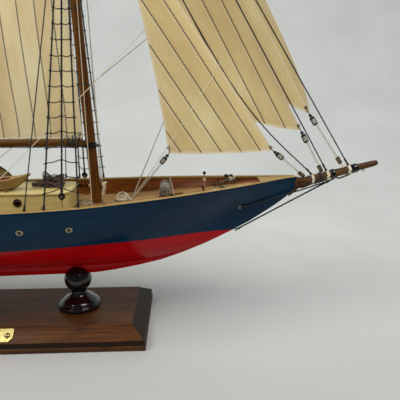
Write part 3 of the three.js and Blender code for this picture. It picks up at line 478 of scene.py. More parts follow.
def settled(mesh, name, body, replaces, sharp):
    """Puts a mesh in the scene, with smooth faces and hard edges, and hangs it on its body."""
    mesh.polygons.foreach_set("use_smooth", [True] * len(mesh.polygons))
    mesh.validate()
    mesh.set_sharp_from_angle(angle=math.radians(sharp))
    ob = placed(name, mesh)
    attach(ob, body)
    if replaces:
        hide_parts(*replaces)
    return ob


def carried(path, up=None, closed=False):
    """Two axes across the path at each point, carried along it without twist."""
    n = len(path)
    out = []
    u = None
    for i in range(n):
        a = path[i - 1] if (i or closed) else path[0]
        b = path[(i + 1) % n] if (i < n - 1 or closed) else path[-1]
        d = unit(b - a)
        if u is None:
            u = vec(*up) if up is not None else (vec(0, 0, 1) if abs(d[2]) < 0.8 else vec(1, 0, 0))
        u = unit(u - d * np.dot(u, d))
        out.append((u, np.cross(d, u)))
    return out


def resampled(path, step, closed=False):
    path = np.asarray(path, float)
    if closed:
        path = np.vstack([path, path[:1]])
    seg = np.linalg.norm(np.diff(path, axis=0), axis=1)
    at = np.concatenate([[0], np.cumsum(seg)])
    n = max(int(round(at[-1] / step)), 2)
    want = np.linspace(0, at[-1], n + 1)
    if closed:
        want = want[:-1]
    return np.stack([np.interp(want, at, path[:, k]) for k in range(3)], 1)


def curve(points, per=8, closed=False):
    """A smooth line through points (Catmull-Rom)."""
    p = np.asarray(points, float)
    n = len(p)
    out = []
    for i in range(n if closed else n - 1):
        q = [p[(i + k) % n] if closed else p[min(max(i + k, 0), n - 1)] for k in (-1, 0, 1, 2)]
        for j in range(per):
            t = j / per
            out.append(0.5 * (2 * q[1] + (q[2] - q[0]) * t + (2 * q[0] - 5 * q[1] + 4 * q[2] - q[3]) * t * t
                              + (3 * q[1] - q[0] - 3 * q[2] + q[3]) * t ** 3))
    if not closed:
        out.append(p[-1])
    return np.array(out)


def hang(a, b, drop, n=14):
    """A line from a to b that hangs drop below its chord at the middle."""
    t = np.linspace(0, 1, n)[:, None]
    p = vec(*a) * (1 - t) + vec(*b) * t
    p[:, 2] -= drop * 4 * t[:, 0] * (1 - t[:, 0])
    return p


def wound(bag, at, axis, big, small, turns, mat, squash=1.0):
    """A lashing: turns of line wound round an axis through at."""
    u, v, w = across(axis)
    t = np.linspace(0, turns, int(turns * 14))
    path = (vec(*at) + np.outer(np.cos(t * TURN) * big, u) + np.outer(np.sin(t * TURN) * big * squash, v)
            + np.outer((t - turns / 2) * small * 1.9, w))
    bag.tube(path, small, mat, 6)


def pulley(bag, at, way, size=1.0, cheek=BLOCK, strop=TAR):
    """A rope-stropped block: two rounded cheeks over a sheave, with its strop round them."""
    w = unit(vec(*way))
    side = unit(np.cross(w, (0, 1, 0)) if abs(w[1]) < 0.8 else np.cross(w, (1, 0, 0)))
    flat = np.cross(w, side)
    axes = np.array([side, flat, w])
    for s in (-1, 1):
        c = vec(*at) + flat * s * 0.95 * size
        bag.blob(c, size * vec(1.45, 0.62, 2.9), cheek, axes, 6, 16, 10)
        for end in (-1, 1):
            bag.blob(c + w * end * 2.5 * size, size * vec(1.56, 0.7, 0.5), IRON, axes, 6)
    bag.lathe(size * np.array([(0, -0.4), (1.2, -0.4), (1.0, 0), (1.2, 0.4), (0, 0.4)]), at, IRON, flat, 14)
    square = lambda c: np.sign(c) * np.abs(c) ** 0.35
    wide, tall = square(np.cos(around(20))) * 1.7 * size, square(np.sin(around(20))) * 3.3 * size
    bag.tube(vec(*at) + np.outer(wide, side) + np.outer(tall, w), 0.38 * size, strop, 6, closed=True)


# ---------------------------------------------------------------- the hull's lines
RAIL_Z = ((-371, 149), (-330, 145.6), (-250, 141.4), (-150, 138.6), (-50, 137.6), (30, 137.8),
          (82, 138.9), (121, 140), (170, 142.8), (228, 146.6), (278, 150), (305, 152.3), (321, 153.4))
RAIL_Y = ((-371, 40), (-340, 48.5), (-300, 56), (-230, 63.5), (-150, 67.6), (-60, 69.6), (20, 69.4),
          (82, 66.6), (121, 62), (170, 52.8), (200, 45.4), (228, 36.6), (255, 27), (278, 18.2),
          (298, 10.2), (312, 4.8), (321, 2.4))
WATER_Y = ((-371, 26), (-330, 30), (-290, 34), (-240, 42), (-180, 54), (-120, 61), (-60, 63.5), (0, 61),
           (50, 54.5), (86, 49), (117, 42.5), (161, 32), (208, 18.5), (230, 12.5), (255, 7.4), (278, 7),
           (298, 5.2), (312, 3.4), (321, 2.3))
KEEL_Z = ((-371, 126.5), (-330, 117.5), (-280, 103.5), (-240, 91.5), (-219, 84), (-217, 54),
          (-104, 54), (27, 54.4), (104, 56), (124, 57), (141, 59.4), (166, 64.2), (188, 69.4),
          (208, 76.4), (229, 85), (244, 92), (259, 99.6), (276, 109), (296, 122), (306, 129.4),
          (313.5, 135.6), (318, 142), (320.5, 149))
BODY_Z = ((-371, 127), (-330, 118), (-280, 104), (-240, 92), (-219, 84.6), (-180, 73), (-130, 65.4),
          (-104, 63.6), (27, 62.8), (104, 64.2), (141, 66), (166, 69), (188, 73), (208, 78.4), (229, 86),
          (244, 93), (259, 100.4), (276, 109.8), (296, 122.8), (306, 130), (313.5, 136), (318, 142.4),
          (320.5, 149.4))
DECK_Z = ((-371, 138), (-330, 134), (-250, 129.6), (-150, 126), (-50, 123.4), (30, 122.6), (82, 123),
          (128, 124.4), (170, 128.4), (200, 132.2), (232, 137), (260, 141.8), (290, 146.8), (312, 149.8),
          (321, 151))


def straight(table, x):
    return float(np.interp(x, [t[0] for t in table], [t[1] for t in table]))


def fair(table, x):
    """A monotone cubic reading of a table, so that a line is fair."""
    n = len(table)
    if x <= table[0][0]:
        return float(table[0][1])
    if x >= table[-1][0]:
        return float(table[-1][1])
    i = next(k for k in range(1, n) if x <= table[k][0])
    chord = lambda k: (table[k + 1][1] - table[k][1]) / (table[k + 1][0] - table[k][0])

    def slope(k):
        if k <= 0:
            return chord(0)
        if k >= n - 1:
            return chord(n - 2)
        a, b = chord(k - 1), chord(k)
        return 0 if a * b <= 0 else 2 * a * b / (a + b)

    (x0, y0), (x1, y1) = table[i - 1], table[i]
    h = x1 - x0
    t = (x - x0) / h
    a, b = slope(i - 1) * h, slope(i) * h
    return y0 + t * (a + t * (3 * (y1 - y0) - 2 * a - b + t * (a + b - 2 * (y1 - y0))))


def half_breadth(x, z):
    top, low, y_top = fair(RAIL_Z, x), straight(BODY_Z, x), fair(RAIL_Y, x)
    k = min(2.3, y_top)
    if z <= low:
        return k
    z_mid = max(100, low + 0.4 * (top - low))
    y_mid = min(fair(WATER_Y, x), y_top)
    below, above = (y_mid - k) / (z_mid - low), (y_top - y_mid) / (top - z_mid)
    mid = 2 * below * above / (below + above) if below + above > 0 else 0
    ends = (low, k, 1.7 * below), (z_mid, y_mid, max(mid, 0)), (top, y_top, 0.7 * above)
    p, q = ends[:2] if z <= z_mid else ends[1:]
    h = q[0] - p[0]
    t = min(max((z - p[0]) / h, 0), 1)
    a, b, d = p[2] * h, q[2] * h, q[1] - p[1]
    return p[1] + t * (a + t * (3 * d - 2 * a - b + t * (a + b - 2 * d)))


def deck_top(x, y):
    return fair(DECK_Z, x) + 1.6 * (1 - (y / max(fair(RAIL_Y, x), 6)) ** 2)


def inside_y(x, z):
    return max(half_breadth(x, z) - 2.3, 0.35)


def side_normal(x, z, side):
    """The hull's outward direction at (x, z)."""
    dx = (half_breadth(x + 1, z) - half_breadth(x - 1, z)) / 2
    dz = (half_breadth(x, z + 0.5) - half_breadth(x, z - 0.5))
    return unit(vec(-dx, side, -dz))


# ---------------------------------------------------------------- hull, deck and rails
def build_hull():
    bag = Bag()
    xs = np.concatenate([[-370, -369, -368, -367.2], np.arange(-366.4, -222, 4.2), [-219, -216, -215],
                         np.arange(-211, 296, 4.2), np.arange(296, 310.4, 2),
                         [310.6, 312, 314, 316, 318, 319.4, 320.5]])
    rows = []
    for x in xs:
        keel = straight(KEEL_Z, x)
        body = max(straight(BODY_Z, x), keel + 0.2)
        top = fair(RAIL_Z, x) - 1.9
        solid = x < -367 or x > 310.5
        half = [(1.5, keel), (2.3, keel + min(1, (body - keel) * 0.5)), (2.3, body)]
        for t in np.linspace(0, 1, 24)[1:]:
            z = body + (top - body) * t
            half.append((half_breadth(x, z), z))
        y_in = inside_y(x, top)
        for t in np.linspace(0, 1, 6):
            z = top if solid else top + (deck_top(x, y_in) - 1 - top) * t
            y = y_in * (1 - 0.2 * t) if solid else max(min(inside_y(x, z), y_in), 0.3)
            half.append((y, z))
        end = half[-1]
        half.append((end[0] * 0.5, end[1]))
        rows.append([(x, y, z) for y, z in half] + [(x, -y, z) for y, z in half[::-1]])
    rows = np.array(rows)
    n = rows.shape[1]
    bag.rings(rows[:, ::-1], PAINT)
    bag.mats.append(BULWARK)
    outer = 26  # the section's points below the rail, on each side
    bag.kinds = [int(min(n - 1 - j, j) >= outer) for j in range(n)] * (len(rows) - 1) + [0, 0]
    bag.done("hull_shell", slot="navy", replaces=["hull"], sharp=40)


build_hull()


def build_deck():
    bag = Bag()
    xs = np.concatenate([[-365.7], np.arange(-362, 300, 5.5), [303, 306]])
    rows = []
    for x in xs:
        w = max(inside_y(x, deck_top(x, 60) - 1) - 0.4, 0.5)
        ys = np.linspace(1, -1, 15) * w
        rows.append([(x, y, deck_top(x, y)) for y in ys] + [(x, y, deck_top(x, y) - 1.2) for y in ys[::-1]])
    bag.rings(rows, DECK)
    # covering boards and a waterway fillet along each side
    for side in (-1, 1):
        path = []
        for x in np.arange(-362, 299, 6):
            y = inside_y(x, deck_top(x, 60)) - 1.5
            path.append((x, side * y, deck_top(x, y) + 0.25))
        bag.tube(path, 1.15, BULWARK, 6, 1.0, up=(0, 0, 1))
    bag.done("deck_planking", slot="deck", replaces=["deck"])


build_deck()


def build_rails():
    for side, word in SIDES:
        bag = Bag()
        rows = []
        for x in np.concatenate([np.arange(-366, 300, 5), np.arange(300, 319.7, 2)]):
            z = fair(RAIL_Z, x)
            out = half_breadth(x, z) + 0.8
            inn = max(out - 4.4, 0.35)
            s = min(0.5, (out - inn) * 0.25)
            ring = [(out, z - 1.6), (out, z - s), (out - s, z), (inn + s, z), (inn, z - s), (inn, z - 1.6)]
            rows.append([(x, side * y, h) for y, h in ring])
        bag.rings(rows, RAIL)
        # its outer edge is painted with the topsides
        bag.mats.append(PAINT)
        bag.kinds = [1 if k < (len(rows) - 1) * 6 and k % 6 in (0, 5) else 0 for k in range(len(bag.kinds))]
        bag.done(f"rail_cap_{word}", slot="cream", replaces=[f"caprail_{word}"])
    bag = Bag()
    z = fair(RAIL_Z, -369.5)
    w = half_breadth(-366, z) + 0.6
    rows = []
    for t in np.linspace(-1, 1, 21):
        x0 = -370.8 - 1.4 * (1 - t * t)
        s = 0.4
        ring = [(x0, z - 1.6), (x0, z - s), (x0 + s, z), (-366.4 - s, z), (-366.4, z - s), (-366.4, z - 1.6)]
        rows.append([(x, t * w, h) for x, h in ring])
    bag.rings(rows, RAIL)
    bag.done("rail_cap_stern", slot="cream", replaces=["caprail_stern"])


build_rails()


# ---------------------------------------------------------------- stand
def build_stand():
    for x, word in ((104, "fore"), (-104, "aft")):
        bag = Bag()
        z0 = 20.6
        profile = [(0, z0), (20.0, z0), (20.5, z0 + 0.7), (20.5, z0 + 2.9), (20.1, z0 + 4), (19.2, z0 + 4.7),
                   (18.3, z0 + 5), (17.9, z0 + 5.4), (17.6, z0 + 6.2), (16.7, z0 + 7.5), (15.1, z0 + 8.9),
                   (13.1, z0 + 10.3), (11.2, z0 + 11.6), (9.6, z0 + 12.9), (8.5, z0 + 14.2),
                   (7.8, z0 + 15.4), (7.55, z0 + 16.4), (7.5, z0 + 17.4), (7.6, z0 + 18.2)]
        profile += [(13.4 * math.cos(a), 50.3 + 13.4 * math.sin(a))
                    for a in np.radians(np.linspace(-55, 89, 38))]
        bag.lathe(profile, (x, 0, 0), BLACK, seg=64)
        ob = bag.done(f"pedestal_turned_{word}", slot="black", replaces=[f"pedestal_{word}"], sharp=50)
        # the slot that the keel sits in
        slot = bpy.data.meshes.new("slot")
        keel = straight(KEEL_Z, x) - 0.15
        low, high = (x - 22, -2.75, keel), (x + 22, 2.75, 90)
        corners = [(a, b, c) for a in (low[0], high[0]) for b in (low[1], high[1])
                   for c in (low[2], high[2])]
        slot.from_pydata((np.array(corners) / 1000).tolist(), [],
                         [(0, 1, 3, 2), (4, 6, 7, 5), (0, 4, 5, 1), (2, 3, 7, 6), (0, 2, 6, 4),
                          (1, 5, 7, 3)])
        cutter = placed("slot", slot)
        mod = ob.modifiers.new("slot", "BOOLEAN")
        mod.object = cutter
        mod.operation = "DIFFERENCE"
        bpy.context.view_layer.objects.active = ob
        with bpy.context.temp_override(object=ob, active_object=ob, selected_objects=[ob]):
            bpy.ops.object.modifier_apply(modifier="slot")
        bpy.data.objects.remove(cutter)
    # screws of the plate: a domed head with a slot
    slope = math.atan2(8.5, 11.8)
    out = vec(0, -math.sin(slope), math.cos(slope))
    along = vec(0, math.cos(slope), math.sin(slope))
    for x, word in ((48, "fore"), (-48, "aft")):
        bag = Bag()
        at = vec(x, -52.5 + 0.7, 10.6) + along * 7.3 + out * 1.5
        for s in (-1, 1):
            rows = []
            for lift, r in ((0, 2.3), (0.5, 2.45), (0.95, 2.1), (1.3, 1.3), (1.4, 0.6)):
                ring = []
                for a in np.linspace(-0.5, 0.5, 11) * math.pi * (1 - 0.16 / max(r, 0.5)):
                    turn = a + (0 if s > 0 else math.pi) + 0.5
                    round_axis = math.cos(turn) * vec(1, 0, 0) + math.sin(turn) * along
                    ring.append(at + out * lift + r * round_axis)
                rows.append(ring)
            bag.rings(rows, RINGS)
        bag.rod(at, 2.2, -0.1, 0.62, IRON, out, 20)
        bag.done(f"plate_screw_{word}", slot="brass", replaces=[f"nameplate_screw_{word}"])


build_stand()


def dress(node, mat, bevel=0.0, segments=2):
    """A CAD node that stays in view: its material and, on hard edges, a small bevel."""
    ob = NODES[node]
    for s in ob.material_slots:
        s.link = "OBJECT"
        s.material = mat
    if bevel:
        mod = ob.modifiers.new("edge", "BEVEL")
        mod.width = bevel / 1000
        mod.segments = segments
        mod.limit_method = "ANGLE"
        mod.angle_limit = math.radians(30)
        mod.harden_normals = False


dress("base_board", BOARD, 0.5, 3)
dress("nameplate", BRASS, 0.18, 2)


# ---------------------------------------------------------------- masts and spars
RAKE = math.tan(math.radians(2.6))
UP = unit(vec(-RAKE, 0, 1))
MASTS = {
    "fore": dict(x=128, hounds=388, cap=432, truck=596, r=4.7, boom_z=186, boom=176, gaff_z=336, gaff=140,
                 rise=math.tan(math.radians(29)), rig="fore_boom_rig"),
    "main": dict(x=-74, hounds=412, cap=456, truck=640, r=4.9, boom_z=172, boom=340, gaff_z=372, gaff=205,
                 rise=math.tan(math.radians(33)), rig="main_boom_rig"),
}
FORE_X, MAIN_X = MASTS["fore"]["x"], MASTS["main"]["x"]
TOP_SET = 6.6  # how far a topmast stands ahead of its lower mast


def mast_x(x0, z):
    return x0 - (z - 125) * RAKE


def on_mast(x0, z, ahead=0.0, y=0.0):
    return vec(mast_x(x0, z) + ahead, y, z)


def build_mast(name):
    k = MASTS[name]
    x0, r = k["x"], k["r"]
    foot = deck_top(x0, 0) + 0.6
    bag = Bag()
    heights = [foot, foot + 30, (foot + k["cap"] + 3) / 2, k["cap"] + 3]
    zs = np.linspace(foot, k["cap"] + 3, 40)
    bag.tube([on_mast(x0, z) for z in zs], np.interp(zs, heights, [r, r, r * 0.95, r * 0.78]), MAST, 28)
    # mast coat: a turned ring on the deck, and black whippings where the doubling begins and ends
    bag.lathe([(0, 0), (r + 2.6, 0), (r + 2.6, 0.8), (r + 1.7, 1.9), (r + 0.3, 2.5), (0, 2.5)],
              on_mast(x0, foot - 0.2), TRIM, UP, 32)
    for z in (k["hounds"] - 8, k["cap"] - 14):
        wound(bag, on_mast(x0, z), UP, r * 0.87, 0.38, 5, TAR)
    # hounds: a cheek on each side under the crosstrees
    for s in (-1, 1):
        rows = []
        for z, wide, thick in ((-22, 1.0, 0.4), (-14, 2.2, 1.5), (-3, 3.4, 2.2), (-1.9, 3.4, 2.2)):
            c = on_mast(x0, k["hounds"] + z, 0, s * (r * 0.82 + thick / 2 - 0.2))
            rows.append([c + vec(a * wide, b * thick * 0.5, 0) for a, b in
                         ((-1, -1), (1, -1), (1, 1), (-1, 1))])
        bag.rings(rows, MAST)
    bag.done(f"{name}mast_spar", slot="mast", replaces=[f"{name}mast"])

    bag = Bag()
    z0, z1 = k["hounds"] - 4, k["truck"]
    zs = np.linspace(z0, z1 - 3, 30)
    radius = np.interp(zs, [z0, z1 - 60, z1 - 4], [2.7, 2.1, 1.3])
    bag.tube([on_mast(x0, z, TOP_SET) for z in zs], radius, MAST, 20)
    top = on_mast(x0, z1 - 4.6, TOP_SET)
    truck = [(0, 0), (1.5, 0), (2.3, 0.7), (2.4, 1.5), (1.9, 2.6), (1.2, 3.4), (0.7, 4), (0.6, 4.5),
             (0, 4.6)]
    bag.lathe(truck, top, RINGS, UP, 20)
    for z in (z1 - 46, z1 - 50, z0 + 1.6):
        wound(bag, on_mast(x0, z, TOP_SET), UP, float(np.interp(z, [z0, z1 - 60, z1], [2.75, 2.2, 1.9])),
              0.32, 4, TAR)
    bag.done(f"{name}_topmast_spar", slot="mast", replaces=[f"{name}_topmast"])

    # cap: a rounded plate that holds both masts at the head of the lower one
    bag = Bag()
    c = on_mast(x0, k["cap"])
    outline = [(5.1 * math.cos(a), 5.1 * math.sin(a)) for a in np.radians(np.linspace(100, 260, 11))]
    outline += [(TOP_SET + 4.2 * math.cos(a), 4.2 * math.sin(a))
                for a in np.radians(np.linspace(-75, 75, 11))]
    rows = []
    for lift, grow in ((-1.6, 0.94), (-1.3, 1), (1.3, 1), (1.6, 0.94)):
        rows.append([c + vec(2 + (a - 2) * grow, b * grow, lift) for a, b in outline])
    bag.rings(rows, MAST)
    bag.torus(c + vec(TOP_SET, 0, 1.7), 2.8, 0.55, IRON, UP, 24)
    bag.torus(c + vec(0, 0, 1.7), 4.1, 0.55, IRON, UP, 28)
    for s in (-1, 1):
        bag.lathe([(0, 0), (0.7, 0), (0.7, 0.5), (0.35, 0.9), (0, 0.95)], c + vec(3.4, s * 3.1, 1.6), RINGS,
                  seg=12)
    bag.done(f"{name}_mast_cap", slot="mast")
    dress(f"{name}_crosstrees", TRIM, 0.35, 2)

    # boom saddle: a leathered ring with its chock and nails
    bag = Bag()
    c = on_mast(x0, k["boom_z"])
    ring = [(r + 0.2, -4.4), (r + 1.0, -4.4), (r + 1.9, -4.0), (r + 2.0, -2.6), (r + 1.7, -1.5),
            (r + 0.7, -1.1), (r + 0.5, 0.4), (r + 0.2, 0.6)]
    u = unit(np.cross(UP, (0, 1, 0)))
    rows = []
    for a in around(36):
        way = math.cos(a) * u + math.sin(a) * vec(0, 1, 0)
        rows.append([c + way * rr + UP * zz for rr, zz in ring])
    bag.rings(rows, BLACK, closed=True)
    for a in (0.6, -0.6, 2.4, -2.4):
        way = math.cos(a) * -u + math.sin(a) * vec(0, 1, 0)
        bag.blob(c + way * (r + 1.9) - UP * 2.9, (0.35, 0.35, 0.35), RINGS, n=8, m=6)
    bag.blob(c + vec(r + 2.0, 0, -2.6), (1.1, 1.5, 1.2), BLACK, power=2.6)
    # the boom bears on a leather-topped rest under its jaws
    bag.tube([c + vec(-r - 0.6, 0, -3.4), c + vec(-r - 2.2, 0, -3.6)], 1.2, BLACK, 12)
    bag.done(f"{name}_boom_saddle", slot="black", replaces=[f"{name}_boom_collar"])


def build_boom_and_gaff(name):
    k = MASTS[name]
    x0, r, rig = k["x"], k["r"], k["rig"]
    z, length = k["boom_z"], k["boom"]
    start = mast_x(x0, z) - 7.4
    bag = Bag()
    t = np.linspace(0, 1, 30)
    radius = np.interp(t, [0, 0.06, 0.5, 0.985, 1], [3.0, 3.7, 3.55, 2.8, 2.2])
    bag.tube([(start - length * a, 0, z) for a in t], radius, SPAR, 22)
    # an end ferrule, and two bands with an eye under each
    ferrule = [(2.2, -1.6), (3.05, -1.6), (3.05, 1.6), (2.2, 1.6)]
    bag.lathe(ferrule, (start - length + 3.2, 0, z), IRON, (1, 0, 0))
    for at in (0.62, 0.86):
        x = start - length * at
        rr = float(np.interp(at, [0, 0.06, 0.5, 0.985, 1], [3.0, 3.7, 3.55, 2.8, 2.2]))
        band = [(rr - 0.2, -1), (rr + 0.45, -1), (rr + 0.45, 1), (rr - 0.2, 1)]
        bag.lathe(band, (x, 0, z), IRON, (1, 0, 0))
        bag.torus((x, 0, z - rr - 1.1), 0.9, 0.3, IRON, (1, 0, 0))
    # black lacing: a footline under the spar, its frapping turns and the tangle at the jaws
    line = []
    for a in np.linspace(0.01, 0.95, 60):
        x = start - length * a
        rr = float(np.interp(a, [0, 0.06, 0.5, 1], [3.0, 3.7, 3.55, 2.8]))
        line.append((x, 0.9 * math.sin(a * 37), z - rr - 0.35 - 0.35 * math.sin(a * 61) ** 2))
    bag.rope(line, 0.42, TAR)
    for a in np.arange(0.09, 0.96, 16.5 / length):
        x = start - length * a
        rr = float(np.interp(a, [0, 0.06, 0.5, 1], [3.0, 3.7, 3.55, 2.8])) + 0.2
        ring = [(x + 0.9 * math.sin(b), rr * math.sin(b),
                 z + (rr + (0.9 if math.cos(b) > 0 else 0)) * math.cos(b)) for b in around(18)]
        bag.tube(ring, 0.2, TAR if name == "fore" and a < 0.3 else BROWN, 5, closed=True)
    for i in range(11):
        x = start - 1.0 - i * 1.15 - rnd.uniform(0, 0.4)
        lean = rnd.uniform(-1.6, 1.6)
        lift = rnd.uniform(0, 3.6)
        big = 3.9 + rnd.uniform(0, 0.5)
        ring = []
        for b in around(20):
            up = max(math.cos(b), 0)
            ring.append((x + lean * math.cos(b), big * math.sin(b) * (1 - 0.3 * up),
                         z + big * math.cos(b) + lift * up))
        bag.rope(ring, 0.4, TAR, 1.0, closed=True)
    for i in range(4):
        a = vec(start - 2 - i * 3, rnd.choice([-3.4, 3.4]), z + rnd.uniform(0, 3))
        b = a + vec(rnd.uniform(-3, 3), rnd.uniform(-1, 1), rnd.uniform(2.5, 6))
        bag.rope(curve([a, (a + b) / 2 + vec(1, -0.6, 0.8), b], 5), 0.38, TAR)
    # jaws: two cheeks that clasp the mast
    for s in (-1, 1):
        rows = []
        for a, wide in ((6.5, 1.2), (2, 2.0), (-2.5, 1.6), (-7, 1.2)):
            y = s * (r + 1.35 if a < 1 else 3.2)
            rows.append([(mast_x(x0, z) - 7.4 - a, y + b * 0.85, z + c * wide) for b, c in
                         ((-1, -1), (1, -1), (1, 1), (-1, 1))])
        bag.rings(rows, SPAR)
    bag.done(f"{name}_boom_spar", rig, "mast", [f"{name}_boom"])

    z, length, rise = k["gaff_z"], k["gaff"], k["rise"]
    start = mast_x(x0, z) - 6.5
    bag = Bag()
    radius = np.interp(t, [0, 0.06, 0.5, 0.985, 1], [2.3, 2.9, 2.75, 2.0, 1.5])
    bag.tube([(start - length * a, 0, z + rise * length * a) for a in t], radius, SPAR, 20)
    tip = unit(vec(-1, 0, rise))
    for a in (0.3, 0.55, 0.8):
        p = vec(start - length * a, 0, z + rise * length * a)
        rr = float(np.interp(a, [0, 0.06, 0.5, 1], [2.3, 2.9, 2.75, 2.0]))
        wound(bag, p, tip, rr + 0.25, 0.32, 4, TAR)
    # brown hitches along the gaff, its jaws, and a parrel of beads round the mast's fore side
    for a in np.arange(0.1, 0.95, CLOTH / length):
        p = vec(start - length * a, 0, z + rise * length * a)
        rr = float(np.interp(a, [0, 0.06, 0.5, 1], [2.3, 2.9, 2.75, 2.0])) + 0.2
        ring = [p + vec(1.2 * math.cos(b), rr * math.sin(b),
                        rr * math.cos(b) - (1.5 if math.cos(b) < 0 else 0)) for b in around(18)]
        bag.tube(ring, 0.2, BROWN, 5, closed=True)
    for s in (-1, 1):
        rows = []
        for a, wide, y in ((9, 0.9, 1.6), (4, 1.7, r + 1.4), (-3, 1.7, r + 1.7), (-6.2, 1.3, r + 1.7),
                           (-7.4, 0.7, r + 1.4)):
            c = vec(mast_x(x0, z) - 5.5 - a, s * y, z)
            rows.append([c + vec(0, b * 1.0, d * wide) for b, d in ((-1, -1), (1, -1), (1, 1), (-1, 1))])
        bag.rings(rows, SPAR)
    for a in np.radians(np.linspace(-62, 62, 9)):
        bead = on_mast(x0, z, (r + 1.7) * math.cos(a), (r + 1.7) * math.sin(a))
        bag.blob(bead, (0.95, 0.95, 0.95), BLACK, n=10, m=7)
    bag.done(f"{name}_gaff_spar", rig, "mast", [f"{name}_gaff"])


for which in MASTS:
    build_mast(which)
    build_boom_and_gaff(which)

SPRIT_A, SPRIT_B = vec(322.8, 0, 146.3), vec(398, 0, 165.4)
SPRIT_WAY = unit(SPRIT_B - SPRIT_A)


def sprit(t, lift=0.0, side=0.0):
    return SPRIT_A * (1 - t) + SPRIT_B * t + vec(0, side, lift)


def sprit_r(t):
    return float(np.interp(t, [0, 0.05, 0.5, 0.95, 1], [3.5, 4, 3.8, 2.9, 2.3]))


def build_knee():
    """The timber that carries the bowsprit's heel on the stem head."""
    bag = Bag()
    prof = [(318.6, 152.4), (323, 151.2), (327.4, 150.6), (328.4, 144.9), (325.4, 143.3), (321.6, 140.2),
            (317.6, 136.4), (313.0, 132.6), (314.6, 138.6), (316.8, 145.4)]
    mid = np.mean(prof, 0)
    rows = []
    for y, k in ((-2.7, 0.9), (-2.3, 1), (2.3, 1), (2.7, 0.9)):
        rows.append([(mid[0] + (x - mid[0]) * k, y * (0.45 + 0.55 * min(1, (z - 132) / 12)),
                      mid[1] + (z - mid[1]) * k) for x, z in prof])
    bag.rings(rows, SPRIT)
    bag.done("bowsprit_knee", slot="mast")


build_knee()


def build_bowsprit():
    bag = Bag()
    t = np.concatenate([[0], np.linspace(0.02, 0.97, 30), [0.99, 1]])
    bag.tube([sprit(a) for a in t], [sprit_r(a) * (0.86 if a == 1 else 1) for a in t], SPRIT, 24)
    # the gusset on the stem head that the bowsprit is stepped on
    rows = []
    for x, z, w, deep in ((321.6, 150.4, 1.6, 2.2), (322.4, 146.9, 2.5, 5.2), (325, 145.6, 2.6, 4.8),
                          (330, 145.4, 2.2, 2.8), (336, 146.4, 1.4, 1.0)):
        rows.append([(x, -w, z), (x, w, z), (x + 0.4, w * 0.8, z - deep), (x + 0.4, -w * 0.8, z - deep)])
    bag.rings(rows, SPRIT)
    bag.done("bowsprit_spar", slot="mast", replaces=["bowsprit"])

    bag = Bag()
    for a, half in ((0.43, 1.9), (0.7, 3.4)):
        rr = sprit_r(a)
        bag.lathe([(rr - 0.3, -half), (rr + 0.75, -half), (rr + 1.0, -half + 0.4), (rr + 1.0, half - 0.4),
                   (rr + 0.75, half), (rr - 0.3, half)], sprit(a), BLACK, SPRIT_WAY, 32)
    for a in (0.19, 0.265):
        wound(bag, sprit(a), SPRIT_WAY, sprit_r(a) + 0.4, 0.42, 3, TAR)
    # small eyes screwed in from below
    for a in (0.1, 0.215, 0.37, 0.655, 0.83):
        p = sprit(a, -sprit_r(a) - 0.9)
        bag.torus(p, 0.9, 0.32, IRON)
        bag.tube([p + vec(0, 0, 2.2), p + vec(0, 0, 0.7)], 0.35, IRON, 8)
    # brown and cream seizings where the stays make fast
    for a in (0.155, 0.345, 0.62):
        wound(bag, sprit(a - 0.02), SPRIT_WAY, sprit_r(a) + 0.3, 0.3, 2.6, BROWN)
        wound(bag, sprit(a + 0.018), SPRIT_WAY, sprit_r(a) + 0.42, 0.46, 3, LIGHT)
        over = [sprit(a + d, sprit_r(a) + lift) for d, lift in ((-0.02, 0.6), (0, 1.6), (0.02, 0.6))]
        bag.rope(curve(over, 5), 0.5, LIGHT)
        bag.blob(sprit(a, -sprit_r(a) - 0.6, -0.8), (0.9, 0.8, 0.8), LIGHT, n=10, m=7)
    bag.done("bowsprit_bands", slot="black", replaces=["bowsprit_band_inner", "bowsprit_band_outer"])


build_bowsprit()


